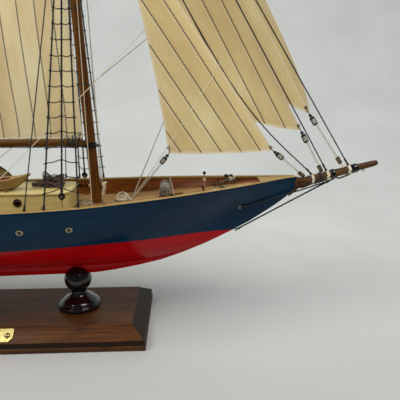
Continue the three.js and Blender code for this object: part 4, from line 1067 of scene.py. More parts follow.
# ---------------------------------------------------------------- sails
def sail_piece(name, at, cols, rows, body, node, cloth, bend=0.0):
    """A sewn sail: at(u, v) gives its surface, u from luff to leech and v from foot to head.
    cloth is its material, the pitch of its seams and the first one's distance from the luff."""
    grid = np.array([[at(u, v) for u in np.linspace(0, 1, cols + 1)] for v in np.linspace(0, 1, rows + 1)])
    low, high = grid[0, 0], grid[-1, 0]
    along = unit(vec(high[0] - low[0], 0, high[2] - low[2]))
    aft = vec(along[2], 0, -along[0])
    if np.dot(grid[0, -1] - low, aft) < 0:
        aft = -aft
    flat = grid - low
    u = flat @ aft
    v = flat @ along
    # the cloths draw in slightly at each seam, and light creases run out of the corners
    wave = 0.16 * np.cos(u * TURN / CLOTH) + 0.22 * np.sin(v / 31 + u / 47) + 0.15 * np.sin(u / 19 - v / 53)
    chord = np.linspace(0, 1, cols + 1)[None, :]
    inside = np.minimum(1, np.minimum(chord, 1 - chord) * 12)
    grid[:, :, 1] += wave * inside
    border = np.vstack([grid[0], grid[:, -1], grid[-1][::-1], grid[::-1, 0]])
    ring = resampled(border, 2.0, True)
    pts = grid.reshape(-1, 3)
    edge = np.array([np.sqrt(((ring - p) ** 2).sum(1).min()) for p in pts])
    foot = v - v[0:1, :]
    u_map = (u - cloth[2]) * CLOTH / cloth[1] + CLOTH - bend * np.exp(-np.maximum(foot, 0) / 13)
    n = cols + 1
    faces = [(i * n + j, i * n + j + 1, (i + 1) * n + j + 1, (i + 1) * n + j)
             for i in range(rows) for j in range(cols)]
    mesh = bpy.data.meshes.new(name)
    mesh.from_pydata((pts / 1000).tolist(), [], faces)
    order = np.array(faces).ravel()
    for key, (a, b) in (("cloth", (u_map.ravel(), v.ravel())), ("edge", (edge, edge))):
        layer = mesh.uv_layers.new(name=key)
        layer.data.foreach_set("uv", (np.stack([a[order], b[order]], 1) / 1000).ravel())
    mesh.materials.append(cloth[0])
    ob = settled(mesh, name, body, [node], 180)
    # hem rolled over a cord, and worked cringles in the corners
    bag = Bag()
    bag.tube(resampled(border, 3.0, True), 0.42, HEM, 6, closed=True)
    centre = pts.mean(0)
    corners = [grid[0, 0], grid[0, -1], grid[-1, 0]]
    if np.linalg.norm(grid[-1, -1] - grid[-1, 0]) > 12:
        corners.append(grid[-1, -1])
    for c in corners:
        p = c + unit(centre - c) * 4.2
        near = pts[np.argmin(((pts - p) ** 2).sum(1))]
        bag.torus(near, 1.15, 0.42, TAR, seg=18)
    hem = bag.done(f"{name}_hem", body, "sail")
    return grid


GRIDS = {}


def gaff_sail(name, belly):
    k = MASTS[name]
    x0, rise = k["x"], k["rise"]
    z_b, z_t = k["boom_z"] + 4.2, k["gaff_z"] - 5.6
    peak_l = k["gaff"] - 9
    tack = vec(mast_x(x0, z_b) - 6.8, 0, z_b)
    clew = vec(mast_x(x0, z_b) - k["boom"] + 9, 0, z_b)
    throat = vec(mast_x(x0, z_t) - 6.8, 0, z_t)
    peak = vec(mast_x(x0, k["gaff_z"]) - 6.8 - peak_l, 0, k["gaff_z"] + peak_l * rise - 5.4)

    def at(u, v):
        p = tack * (1 - u) * (1 - v) + clew * u * (1 - v) + peak * u * v + throat * (1 - u) * v
        bow = belly * 4 * u * (1 - u) * (0.35 + 2.6 * v * (1 - v))
        tie = 1 - math.exp(-9 * (v + 0.002)) if v < 0.5 else 1 - math.exp(-9 * (1.002 - v))
        p[1] -= bow * tie
        p[0] += 5 * math.sin(math.pi * v) * max(u - 0.8, 0)  # the leech stands slightly hollow
        return p

    cols = int(round(k["boom"] / 2.6))
    GRIDS[name] = sail_piece(f"{name}sail_cloth", at, cols, 72, k["rig"], f"{name}sail",
                             (CANVAS, 14.15, 12.5), bend=2.6)
    # thin robands hold the luff to the mast
    bag = Bag()
    zs = [238, 300.5] if name == "fore" else [224, 276, 328]
    for z in zs:
        r = float(np.interp(z, [125, k["cap"]], [k["r"], k["r"] * 0.8]))
        for off in (0, 0.55):
            ring = []
            for b in around(24):
                aft = math.cos(b) < -0.5
                ring.append(on_mast(x0, z + off + 0.3 * math.cos(b),
                                    (r + 0.35) * math.cos(b) - (2.2 if aft else 0),
                                    (r + 0.35) * math.sin(b) * (0.45 if aft else 1)))
            bag.tube(ring, 0.26, TAR, 6, closed=True)
    bag.done(f"{name}_robands", k["rig"], "cord")


gaff_sail("fore", 9)
gaff_sail("main", 16)

# tack, clew, head, belly, the leech's hollow, the luff's round, the foot's drop, columns, the seams'
# pitch and the first seam's distance from the luff
HEADS = {
    "fore_staysail": ((295, -1.8, 178.2), (198, -8, 177), (153, -1.8, 387), 5, 4, 0, 1, 40, CLOTH, 9.8),
    "jib": ((321.6, 1.8, 196.8), (208, 9, 240), (141, 1.8, 522), -5, 3, 0, 9.2, 44, 14.8, 11.4),
    "flying_jib": ((328.4, 2.4, 212.6), (211, 16, 319), (151, 2.4, 522), -5, 2, 11, 16, 44, 14.8, 13.5),
}
for name, (tack, clew, head, belly, hollow, roach, drop, cols, pitch, first) in HEADS.items():
    def at(u, v, a=vec(*tack), c=vec(*clew), h=vec(*head), belly=belly, hollow=hollow, roach=roach,
           drop=drop):
        v *= 0.985
        p = a + (c - a) * u
        p = p + (h - p) * v
        p[0] += hollow * math.sin(math.pi * v) * u + roach * math.sin(math.pi * v ** 0.6) * (1 - u)
        p[1] -= belly * math.sin(math.pi * u ** 0.8) * (1 - v * 0.3) * math.sin(math.pi * (0.12 + 0.88 * v))
        p[2] -= u * (1 - u) * 4 * drop * (1 - v) ** 2
        return p

    stay = "fore_stay_line" if name == "fore_staysail" else f"{name}_stay_line"
    GRIDS[name] = sail_piece(f"{name}_cloth", at, cols, 84, "model", name,
                             (JIB_CANVAS, pitch, first))


# ---------------------------------------------------------------- standing rigging
def fore_top(z):
    return on_mast(FORE_X, z, TOP_SET)


STAYS = {
    "fore_stay": [sprit(0.155, 4.9), vec(252, 0.4, 243), fore_top(466) + vec(3.2, 0, 0)],
    "jib_stay": [sprit(0.345, 4.8), fore_top(540) + vec(3, 0, 0)],
    "flying_jib_stay": [sprit(0.625, 4.6), fore_top(551) + vec(3, 0, 0)],
    "spring_stay": [on_mast(FORE_X, 430, -4.7), on_mast(MAIN_X, 430, TOP_SET + 3.4)],
}
for name, path in STAYS.items():
    bag = Bag()
    bag.rope(curve(path, 12), 0.66, TAR)
    for p, q in ((path[0], path[1]), (path[-1], path[-2])):
        way = unit(q - p)
        wound(bag, p + way * 5.5, way, 0.72, 0.3, 7, TAR)
        wound(bag, p + way * 1.2, way, 0.8, 0.34, 4, TAR)
    bag.done(f"{name}_line", slot="cord", replaces=[name])

bag = Bag()
under = sprit(0.37, -6.6)
ahead, shackle = sprit(0.655, -5), vec(263.2, 0, 99.6)
bag.rope(curve([ahead, (ahead + under) / 2 - vec(0, 0, 0.4), under, shackle], 10), 0.85, TAR)
wound(bag, under, under - shackle, 0.9, 0.34, 5, TAR)
wound(bag, vec(265.5, 0, 100.6), (1, 0, 0.8), 0.8, 0.32, 4, TAR)
bag.torus(vec(262.4, 0, 99.2), 1.0, 0.45, IRON, seg=18)
bag.done("bobstay_line", slot="cord", replaces=["bobstay"])
for side, word in SIDES:
    bag = Bag()
    way = side_normal(264.5, 124.5, side)
    eye = vec(264.5, side * half_breadth(264.5, 124.5), 124.5)
    bag.rope(hang(sprit(0.35, -5.6, side * 2.6), eye + way * 1.1, 0.5), 0.78, TAR)
    wound(bag, eye + way * 1.2 + vec(3, side * -0.3, 1.2), (0.9, -0.3 * side, 0.35), 0.7, 0.32, 5, TAR)
    nut = [(0, 0.1), (2.2, 0.1), (2.3, 0.35), (2.0, 0.75), (1.3, 0.9), (1.1, 0.7), (0, 0.7)]
    bag.lathe(nut, eye, PEWTER, way, 6)
    bag.torus(eye + way * 1.3, 0.8, 0.3, PEWTER, (0, 0, 1))
    bag.done(f"bowsprit_guy_{word}", slot="cord", replaces=[f"bowsprit_shroud_{word}"])


def knot(bag, at, r, mat=TAR):
    at = vec(*at)
    bag.blob(at, (r, r * 0.85, r), mat, n=8, m=6)
    wound(bag, at, (rnd.uniform(-0.4, 0.4), 0.3, 1), r * 0.95, r * 0.36, 1.6, mat)


def shroud_gang(name, side, word):
    """Three shrouds to the hounds. The middle one makes fast inboard on a black heart, so the
    ratlines clove-hitched to them bow inwards as well as sag between."""
    k = MASTS[name]
    x0 = k["x"]
    dx = {"fore": (-30.4, -18, -3.6), "main": (-36, -21, -6)}[name]
    feet = [vec(x0 + d, side * (fair(RAIL_Y, x0 + d) - 1.2), fair(RAIL_Z, x0 + d) + 0.6) for d in dx]
    inboard = vec(x0 + dx[1] - 2.4, side * (fair(RAIL_Y, x0 + dx[1]) - 19), fair(RAIL_Z, x0 + dx[1]) + 10.5)
    z_top = k["hounds"] - 4
    tops = [on_mast(x0, z_top, d, side * 5.9) for d in (-1.9, 0, 1.9)]
    bag = Bag()
    lines = []
    for i, (foot, top) in enumerate(zip((feet[0], inboard, feet[2]), tops)):
        lines.append((foot, top))
        bag.rope([foot, top], 0.82 if i == 1 else 0.74, TAR, 1.3)
        way = unit(top - foot)
        wound(bag, top - way * 3, way, 0.8, 0.3, 8, TAR)
        if i != 1:
            # the tail goes down through an eye in the rail and is frapped over itself
            wound(bag, foot + way * 2.4, way, 0.72, 0.32, 6, TAR)
            bag.blob(foot + vec(0, 0, 0.5), (1.5, 0.9, 0.6), IRON, power=2.6, n=12, m=6)
            end = foot + vec(-1.2, -side * 0.5, 0.1)
            tail = [foot + way * 1.5, foot + vec(-1.4, -side * 0.8, 2.4), end + vec(-0.6, 0, 0.4)]
            bag.rope(curve(tail, 6), 0.34, TAR)
        else:
            heart = foot - way * 2.4
            axes = np.array([vec(1, 0, 0), unit(np.cross(way, (1, 0, 0))), way])
            bag.blob(heart - way * 1.4, (2.3, 1.3, 3.3), HEART, axes, 2.4, 16, 10)
            bag.torus(heart - way * 1.4, 2.5, 0.55, TAR, axes[1], 22)
            bush = [(0, -1.45), (1.0, -1.45), (1.1, -1.3), (1.1, 1.3), (1.0, 1.45), (0, 1.45)]
            bag.lathe(bush, heart - way * 2.0, RINGS, axes[1], 16)
            bag.blob(heart + way * 1.8, (0.9, 0.9, 1.7), TAR, axes, n=12, m=8)
            wound(bag, foot + way * 0.8, way, 0.85, 0.34, 6, TAR)
            # a lanyard leads from the heart down to the deck inside the bulwark
            deck = vec(heart[0], side * abs(heart[1]) * 1.02, deck_top(heart[0], heart[1]) + 0.8)
            bag.rope([heart - way * 4.6, deck], 0.3, TAR)
            bag.torus(deck - vec(0, 0, 0.3), 0.8, 0.3, IRON, seg=14)
    z = fair(RAIL_Z, x0 + dx[1]) + 13.0
    while z < k["hounds"] - 24:
        at = []
        for foot, top in lines:
            t = (z - foot[2]) / (top[2] - foot[2])
            at.append(foot + (top - foot) * t)
        reach = 0.11
        first = at[0] - (at[1] - at[0]) * reach - vec(0.4, 0, 0.3)
        last = at[2] + (at[2] - at[1]) * reach + vec(0.5, 0, -0.3)
        sag = [(at[i] + at[i + 1]) / 2 - vec(0, 0, 0.5 + rnd.uniform(-0.35, 0.35)) for i in range(2)]
        ratline = [first, at[0], sag[0], at[1] + vec(0, 0, 0.5), sag[1], at[2], last]
        bag.rope(curve(ratline, 4), 0.5, TAR, 1.3)
        for p in at:
            knot(bag, p, 0.86)
        z += 12.2 + rnd.uniform(-0.5, 0.5)
    bag.done(f"{name}_shroud_net_{word}", slot="cord", replaces=[f"{name}_shrouds_{word}"])


for which in MASTS:
    for side, word in SIDES:
        shroud_gang(which, side, word)
        k = MASTS[which]
        x = k["x"] - (45.5 if which == "fore" else 50)
        foot = vec(x, side * (fair(RAIL_Y, x) - 1.4), fair(RAIL_Z, x) + 1.1)
        top = on_mast(k["x"], k["hounds"] - 4, -3.8, side * 5.9)
        bag = Bag()
        way = unit(top - foot)
        bag.rope([foot, top], 0.54, TAR)
        wound(bag, foot + way * 2.2, way, 0.74, 0.32, 6, TAR)
        wound(bag, top - way * 3, way, 0.74, 0.32, 6, TAR)
        bag.blob(foot, (1.5, 0.9, 0.6), IRON, power=2.6, n=12, m=6)
        bag.done(f"{which}_backstay_line_{word}", slot="cord", replaces=[f"{which}_backstay_{word}"])
# the topmast-head ends of the stays and backstays: served eyes round each topmast
for which, heights in (("fore", (540, 551)), ("main", (590, 594))):
    bag = Bag()
    for z in heights:
        wound(bag, on_mast(MASTS[which]["x"], z, TOP_SET), UP, 2.35, 0.42, 3, TAR)
    if which == "fore":
        wound(bag, on_mast(FORE_X, 466, TOP_SET), UP, 2.75, 0.45, 3, TAR)
        wound(bag, on_mast(FORE_X, 430), UP, 4.1, 0.45, 3, TAR)
    bag.done(f"{which}_masthead_eyes", slot="cord")


# ---------------------------------------------------------------- headsail gear
def tackle(bag, corner, into, low, size, tail=None):
    """A lashing from a sail's corner to a block, and two falls from it down to low, where a
    second block rides tail above low if tail is given."""
    corner, low = vec(*corner), vec(*low)
    inside = corner + unit(vec(*into) - corner) * 5.5
    way = unit(low - corner)
    knot_at = corner + way * 3.3
    for s in (-0.35, 0.35):
        bag.rope([inside + vec(0, s, 0), corner + vec(0, s, 0), knot_at], 0.42, TAR)
    bag.blob(knot_at, (1.35, 1.3, 1.5), TAR, power=2.3)
    wound(bag, knot_at, (0.6, 0.4, 0.7), 1.25, 0.36, 2.5, TAR)
    bag.rope([knot_at, knot_at + way * 2.6], 0.6, TAR)
    block_at = corner + way * (5.4 + 3.3 * size)
    pulley(bag, block_at, way, size, CHEEK, TAR)
    end = low
    if tail:
        end = low - way * tail
        pulley(bag, end, way, size * 0.92, BLOCK, LIGHT)
        bag.rope([end + way * 2.6, low + way * 0.6], 0.6, LIGHT)
        wound(bag, low - way * 0.6, way, 0.8, 0.34, 3, LIGHT)
        end = end - way * 2.8
    side = unit(np.cross(way, (0, 1, 0)))
    for s, mat in ((-0.65, LIGHT), (0.65, GREY)):
        bag.rope(hang(block_at + way * 3.2 * size + side * s, end + side * s * 0.8, 0.25), 0.34, mat)


bag = Bag()
for name, low, tail in (("fore_staysail", sprit(0.065, 4.2), 4.2), ("jib", sprit(0.29, 4.2), 4.6),
                        ("flying_jib", sprit(0.56, 4.1), 8.2)):
    g = GRIDS[name]
    tackle(bag, g[0, 0], g.reshape(-1, 3).mean(0), low, 1.22, tail)
bag.done("headsail_tack_tackles", slot="cord")

# staysail sheet: lashing and block at the clew, falls to an eye on the deck beside the hatch
bag = Bag()
EYE = vec(160.5, -1, deck_top(160.5, -1) + 1.4)
g = GRIDS["fore_staysail"]
tackle(bag, g[0, -1], g.reshape(-1, 3).mean(0), EYE, 1.1)
bag.torus(EYE - vec(0, 0, 0.4), 1.1, 0.36, IRON, seg=18)
knot(bag, EYE + vec(0, 0, 0.6), 1.1, LIGHT)
clew = GRIDS["jib"][0, -1]
bag.rope(hang(clew, EYE + vec(-0.5, 0, 0.6), 1.2), 0.34, GREY)
bag.rope(hang(clew + vec(0, 1, 0.6), EYE + vec(0.5, 0.3, 0.6), 0.6), 0.34, LIGHT)
knot(bag, clew + vec(-0.5, 0, 0), 1.0, GREY)
# the jib's weather sheet goes over the stay and down before the staysail
over = [clew, (232, 7, 259), (243.5, 2.4, 258), (244, -3.4, 254.5), (226, -15.5, 228), (204, -18.6, 195),
        (186, -14, 168), EYE + vec(0, 0.4, 0.8)]
bag.rope(curve(over, 8), 0.34, LIGHT)
bag.done("staysail_sheets", slot="cord")

# the flying jib's sheet to starboard and the jib's brail to port, led aft to eyes in the rails
for side, mat in ((-1, LIGHT), (1, GREY)):
    bag = Bag()
    clew = GRIDS["flying_jib"][0, -1]
    if side < 0:
        path = hang(clew, (38, -66.2, 139.8), 1.6, 8)
    else:
        clew = vec(197, 8.2, 291)
        path = hang(clew, (-18, 67.2, 139.2), 0.6, 8)
    bag.rope(curve(path, 14), 0.34, mat)
    knot(bag, clew, 1.0, mat)
    end = path[-1]
    bag.torus(end + vec(-0.4, 0, -0.2), 1.0, 0.34, IRON)
    wound(bag, end + unit(path[-2] - end) * 2.2, path[-2] - end, 0.6, 0.28, 5, mat)
    bag.done("flying_jib_sheet" if side < 0 else "jib_brail", slot="strap")


# ---------------------------------------------------------------- houses, boats and deck gear
def plan_ring(x0, x1, half, r):
    """A rectangle's outline with its corners rounded to r."""
    corners = ((x1 - r, half - r), (x0 + r, half - r), (x0 + r, -half + r), (x1 - r, -half + r))
    return [(cx + r * math.cos(a), cy + r * math.sin(a)) for k, (cx, cy) in enumerate(corners)
            for a in np.radians(np.linspace(90 * k, 90 * k + 90, 7))]


def inset(x0, x1, half, r, by):
    return plan_ring(x0 + by, x1 - by, half - by, max(r - by, 0.5))


def port_light(bag, at, way, big, ring):
    """A round light: a turned ring with a raised lip over dark glass."""
    lip = [(0.62, 0.05), (1, 0.05), (1, 0.45), (0.9, 0.8), (0.72, 0.85), (0.62, 0.5), (0.6, 0.2)]
    bag.lathe([(big * r, z) for r, z in lip], at, ring, way, 30)
    bag.lathe([(0, 0.7), (big * 0.6, 0.7), (big * 0.56, 0.86), (0, 0.86)], at, GLASS, way, 24)


def house(name, x0, x1, half, top, r, eaves, lights):
    """A cabin with rounded corners, a foot moulding and round lights, and its soft-edged roof."""
    bag = Bag()
    plan = plan_ring(x0, x1, half, r)
    bag.rings([[(x, y, (deck_top(x, y) - 0.3) * (1 - t) + top * t) for x, y in plan]
               for t in (0, 0.5, 1)], PALE)
    foot = [(x, y, deck_top(x, y) + 0.5) for x, y in inset(x0, x1, half, r, -0.5)]
    bag.tube(foot, 0.8, TRIM, 8, closed=True, up=(0, 0, 1))
    for x in lights:
        for s in (-1, 1):
            port_light(bag, (x, s * half, (deck_top(x, half) + top) / 2 + 2.2), (0, s, 0), 3.9, BROWN_WOOD)
    bag.done(f"{name}_walls", slot="pale", replaces=[name])
    bag = Bag()
    low, high = top + 0.3, top + 2.4
    bag.rings([[(x, y, z) for x, y in inset(x0 - eaves, x1 + eaves, half + eaves * 0.8, r + 1, by)]
               for z, by in ((low, 0.5), (low + 0.15, 0.1), (low + 0.6, 0), (high - 0.8, 0),
                             (high - 0.3, 0.25), (high - 0.05, 0.8), (high, 1.6))], PALE)
    bag.done(f"{name}_top", slot="pale", replaces=[f"{name}_roof"], sharp=60)


house("deckhouse", -24, 106.5, 24.6, 142, 10, 1.0, (62, 26, -8))
house("aft_cabin", -214, -140, 27, 146.4, 6, 2.0, (-157, -177, -197))
ROOF, CABIN_ROOF = 144.4, 148.8


def boat(node, x, y, length, beam, deep, flip, shell):
    """A lapstrake dory: five planks a side, ribs, thwarts, rails and a keel."""
    bag = Bag()
    ts = np.linspace(-1, 1, 29)
    laps = 5

    def put(points):
        p = np.asarray(points, float)
        if flip:
            p = p * (1, -1, -1) + (0, 0, deep)
        return p + vec(x, y, ROOF + 0.3)

    def section(t):
        """Half the beam, the sheer's and the bottom's heights, and half the bottom's width."""
        a = abs(t)
        w = max(beam * 0.5 * (1 - a ** 2.3), 0.55)
        up = deep * (0.62 + 0.38 * a ** 2.5)
        low = min(0.8 * t * t + (up - 0.8) * max(0, (a - 0.56) / 0.44) ** 1.15, up - 1.1)
        return w, up, low, max(w * 0.56 * (1 - (a / 0.66) ** 4), 0.35)

    def lengthwise(reach, n, at):
        return put([(t * length / 2, *at(*section(t))) for t in np.linspace(-reach, reach, n)])

    rows = []
    for t in ts:
        w, up, low, wl = section(t)
        step = min(0.42, w * 0.1)
        half = [(0, low), (wl * 0.9, low)]
        for i in range(laps):
            a, b = i / laps, (i + 1) / laps
            half.append((wl + (w - wl) * a + step * (0.4 if i else 0), low + (up - low) * a))
            half.append((wl + (w - wl) * b + step * 0.9 - 0.1, low + (up - low) * b - 0.05))
        solid = abs(t) > 0.9 or up - low < 2.2
        half += [(max(w - 1.0, 0.1), up), (max(w - 1.1, 0.12), up - 0.3),
                 (max(wl - 0.9, 0.08), up - 0.3 if solid else low + 1.4),
                 (0, up - 0.3 if solid else low + 1.3)]
        half += [(-b, c) for b, c in half[-2:0:-1]]
        rows.append(put([(t * length / 2, b, c) for b, c in half]))
    bag.rings(rows, shell)
    bag.mats.append(DORY_RED)
    n, outer, sheer = len(rows[0]), 2 + laps * 2, laps * 2 - 2
    for i in range(len(ts) - 1):
        for j in range(n):
            k = min(j, n - 1 - j)
            if (k > outer and (flip or ts[i] < 0.45)) or (flip and k >= sheer):
                bag.kinds[i * n + j] = 1
    for s in (-1, 1):
        rail = lengthwise(0.985, 41, lambda w, up, low, wl: (s * (w + 0.15), up - 0.2))
        bag.tube(rail, 0.62, DORY_RED if flip else DORY_TAN, 8, up=(0, 0, 1))
        chine = lengthwise(0.62, 31, lambda w, up, low, wl: (s * (wl + 0.15), low + 0.35))
        bag.tube(chine, 0.55, BROWN_WOOD, 8, up=(0, 0, 1))
    keel = lengthwise(0.99, 61, lambda w, up, low, wl: (0, low - 0.15))
    bag.tube(keel, 0.7 if flip else 0.5, BROWN_WOOD, 8, up=(0, 1, 0))
    if not flip:
        for t in (-0.42, -0.06):
            w, up = section(t)[:2]
            x_mid = t * length / 2
            bag.box(*put([(x_mid - 2.2, 0.9 - w, up - 2.6), (x_mid + 2.2, w - 0.9, up - 1.8)]), TRIM, 0.25)
        for t in np.linspace(-0.5, 0.5, 7):
            w, up, low, wl = section(t)
            rib = [(1.3 - w, up - 0.6), (1.0 - wl, low + 1.9), (0, low + 1.75), (wl - 1.0, low + 1.9),
                   (w - 1.3, up - 0.6)]
            bag.tube(put([(t * length / 2, a, b) for a, b in rib]), 0.42, TRIM, 6)
        # a pair of oars stowed over the thwarts
        for s in (-1, 1):
            oar = put([(-34, s * 2.6, deep * 0.62 - 0.9), (-1, s * 2.2, deep * 0.62 - 0.7)])
            bag.tube(oar, 0.5, RAIL, 8)
            bag.blob(oar[1] + vec(4.5, 0, 0.1), (5, 1.3, 0.35), RAIL)
    bag.done(f"{node}_boat", slot="dory", replaces=[node])


DORY_Y, UPTURNED_Y = -12.4, 11.4
boat("dory_starboard", 28, DORY_Y, 88, 22, 15.4, False, DORY_TAN)
boat("dory_port", 15, UPTURNED_Y, 72, 23, 17.5, True, DORY_OLIVE)

# chocks and gripes of the starboard dory, blocks under the upturned one, and grab rails
bag = Bag()
for x, half in ((6, 8.6), (52, 7.6)):
    for y in (DORY_Y - half, DORY_Y + half):
        bag.box((x - 1.2, y - 1.5, ROOF), (x + 1.2, y + 1.5, ROOF + 2.6), TRIM, 0.3)
for x in (8, 40):
    t = (x - 28) / 44
    w = 11 * (1 - abs(t) ** 2.3) + 0.8
    up = ROOF + 0.3 + 15.4 * (0.62 + 0.38 * abs(t) ** 2.5)
    bag.rope([(x, y + DORY_Y, z) for y, z in ((-w - 1.2, ROOF + 0.3), (-w - 0.25, up - 0.4), (0, up + 0.3),
                                            (w - 0.4, up - 0.2), (w - 0.2, ROOF + 0.3))], 0.34, GREY)
for x in (-4, 34):
    for y in (UPTURNED_Y - 8.6, UPTURNED_Y + 8.6):
        bag.box((x - 1.3, y - 1, ROOF), (x + 1.3, y + 1, ROOF + 5.8), TRIM, 0.3)
for x0, x1 in ((-14, 0), (64, 78)):
    path = [(x, 23.2, ROOF + 1.5) for x in np.linspace(x0 + 0.8, x1 - 0.8, 5)]
    bag.tube([(x0, 23.2, ROOF), *path, (x1, 23.2, ROOF)], 0.45, TRIM, 8, up=(0, 1, 0))
bag.done("roof_gear", slot="mast")


def hank(bag, centre, size, turns, r, mat, lean=0.0, wraps=0, along=(1, 0, 0), up=(0, 0, 1), wild=1.0,
         taper=0.0):
    """A made-up hank: long loops of line laid together and wrapped at the waist."""
    c, a, u = vec(*centre), unit(vec(*along)), unit(vec(*up))
    s = np.cross(u, a)
    for i in range(turns):
        fan = (i / (turns - 1) - 0.5) * 2
        long = size[0] * rnd.uniform(0.82, 1.0)
        path = []
        tip, bow = rnd.uniform(-0.3, 0.3) * wild, rnd.uniform(-0.25, 0.25) * wild
        for b in around(15):
            waist = 0.42 + 0.58 * abs(math.cos(b)) ** 1.5
            px = long * math.cos(b) + rnd.uniform(-0.4, 0.4) * wild
            py = size[1] * (0.8 * math.sin(b) * waist + 0.45 * fan) + bow * math.cos(2 * b)
            pz = size[2] * (0.55 * fan * math.cos(b * 2 + i) + 0.35 * math.sin(b + i * 1.7))
            pz += tip * math.cos(b)
            slim = 1 + taper * px / long
            path.append(c + a * px + s * py * slim + u * (pz * slim + lean * px))
        bag.rope(curve(path, 4, True), r, mat, closed=True)
    for i in range(wraps):
        off = (i - (wraps - 1) / 2) * r * 2
        bag.rope([c + a * (off + 0.4 * math.sin(b)) + s * size[1] * 0.95 * math.cos(b)
                  + u * size[2] * 1.05 * math.sin(b) for b in around(20)], r, mat, closed=True)


bag = Bag()
hank(bag, (83.5, -0.5, ROOF + 3.8), (15.5, 5.2, 4.6), 13, 0.62, BROWN, 0.07, 3, taper=0.55)
hank(bag, (88.5, -0.4, ROOF + 8), (9.5, 4.2, 4), 8, 0.6, BROWN, 0.02, taper=0.4)
for i in range(4):
    bight = [(-1.8, 0, -1), (-2.4, 0.2, 3.4), (-0.6, 0, 6.6 - i), (1.8, -0.2, 5.2 - i), (2.2, 0, 1.6),
             (4, -0.6, -1.2)]
    bag.rope(curve(vec(81 + i * 1.6, 0.6 - i * 0.7, ROOF + 8) + bight, 6), 0.55, BROWN)
bag.done("roof_rope_hank", slot="strap")

# cream coils: one flaked flat on the deck, one loop at the mast's foot, one hung on the mast
bag = Bag()
for i in range(5):
    big = 7.2 - i * 0.7
    cx, cy = 150.5 + rnd.uniform(-0.6, 0.6), 11.5 + rnd.uniform(-0.7, 0.7)
    path = []
    for b in around(26):
        px, py = cx + big * math.cos(b), cy + big * 0.86 * math.sin(b)
        ride = 0.95 * i + 0.5 * (1 + math.sin(b * 2 + i)) + 0.02 * (py - 5) ** 2 * (i > 1)
        path.append((px, py, deck_top(px, py) + 0.8 + ride))
    bag.rope(path, 0.62, LIGHT, closed=True)
tail = [(155.6, 8.5, 131.4), (158.2, 5.4, 131.6), (159.6, 2, 130.9), EYE + vec(0, 0, 0.5)]
bag.rope(curve(tail, 6), 0.5, LIGHT)
for i in range(2):
    path = []
    for b in around(26):
        px, py = 117.6 + (6.2 - i) * math.cos(b), 7.0 + (6.0 - i) * math.sin(b)
        path.append((px, py, deck_top(px, py) + 0.8 + i * 0.8 + 0.9 * (1 + math.sin(b + 1))))
    bag.rope(path, 0.5, LIGHT, closed=True)
hank(bag, (134.6, 0, 142.6), (6.4, 2.6, 2.2), 7, 0.5, LIGHT, along=(-0.16, 0, -1), up=(1, 0, 0), wild=0.8)
bag.blob((132.6, 0, 148.6), (2.4, 0.7, 0.7), TRIM)
bag.rod((132.6, 0, 147.2), 0.9, -0.8, 0.8, TRIM, (1, 0, 0.1), 14)
for i in range(2):
    wound(bag, (134.6, 0, 146.9 - i), (0.1, 0.2, 1), 1.7, 0.42, 2, LIGHT, squash=0.8)
bag.done("deck_coils", slot="cream")


def halyards(bag, name, lines):
    """Lines from under the hounds to the deck or to the mast's foot."""
    for ahead, side, foot, mat in lines:
        top = on_mast(MASTS[name]["x"], MASTS[name]["hounds"] - 4, ahead, side)
        bag.rope(hang(top, foot, 0.0), 0.36, mat)


def deck_eyes(bag, eyes):
    for x, y in eyes:
        z = deck_top(x, y)
        bag.torus((x, y, z + 0.9), 0.9, 0.3, IRON, seg=14)
        knot(bag, (x, y, z + 2.6), 0.8, LIGHT)


bag = Bag()
halyards(bag, "fore", (
    (7.4, -13, vec(125.4, -12.5, deck_top(125, -12) + 1), LIGHT), (13, -1, vec(132.4, -0.6, 148.4), GREY),
    (12, 2, vec(133.4, 1.2, 148.8), LIGHT), (-2, 11, vec(130, 12.5, deck_top(130, 12) + 1), LIGHT)))
deck_eyes(bag, ((125.4, -12.5), (130, 12.5)))
for ahead, s in ((7.4, -13), (13, -1), (12, 2), (-2, 11)):
    pulley(bag, on_mast(FORE_X, 382, ahead, s) - vec(0, 0, 1.2), (0, 0, 1), 0.8)
halyards(bag, "main", (
    (7.6, -13, vec(-77.4, -12.5, deck_top(-77, -12) + 1), LIGHT), (13, 0, vec(-68.4, 0, 142), LIGHT),
    (-2, 11, vec(-74.6, 12.5, deck_top(-75, 12) + 1), GREY)))
hank(bag, (-67.6, 0, 138), (6.0, 2.5, 2.0), 6, 0.5, LIGHT, along=(-0.05, 0, -1), up=(1, 0, 0), wild=0.8)
bag.blob((-68.4, 0, 143.6), (2.4, 0.7, 0.7), TRIM)
deck_eyes(bag, ((-77.4, -12.5), (-74.6, 12.5)))
bag.done("mast_halyards", slot="strap")

# portholes in the topsides
bag = Bag()
LIGHT_Z = 119.6
for side in (-1, 1):
    for x in (113.8, 74.9, 36, -2.9, -41.8, -100, -140):
        at = (x, side * half_breadth(x, LIGHT_Z), LIGHT_Z)
        port_light(bag, at, side_normal(x, LIGHT_Z, side), 2.85, RINGS)
bag.done("hull_port_lights", slot="brass")

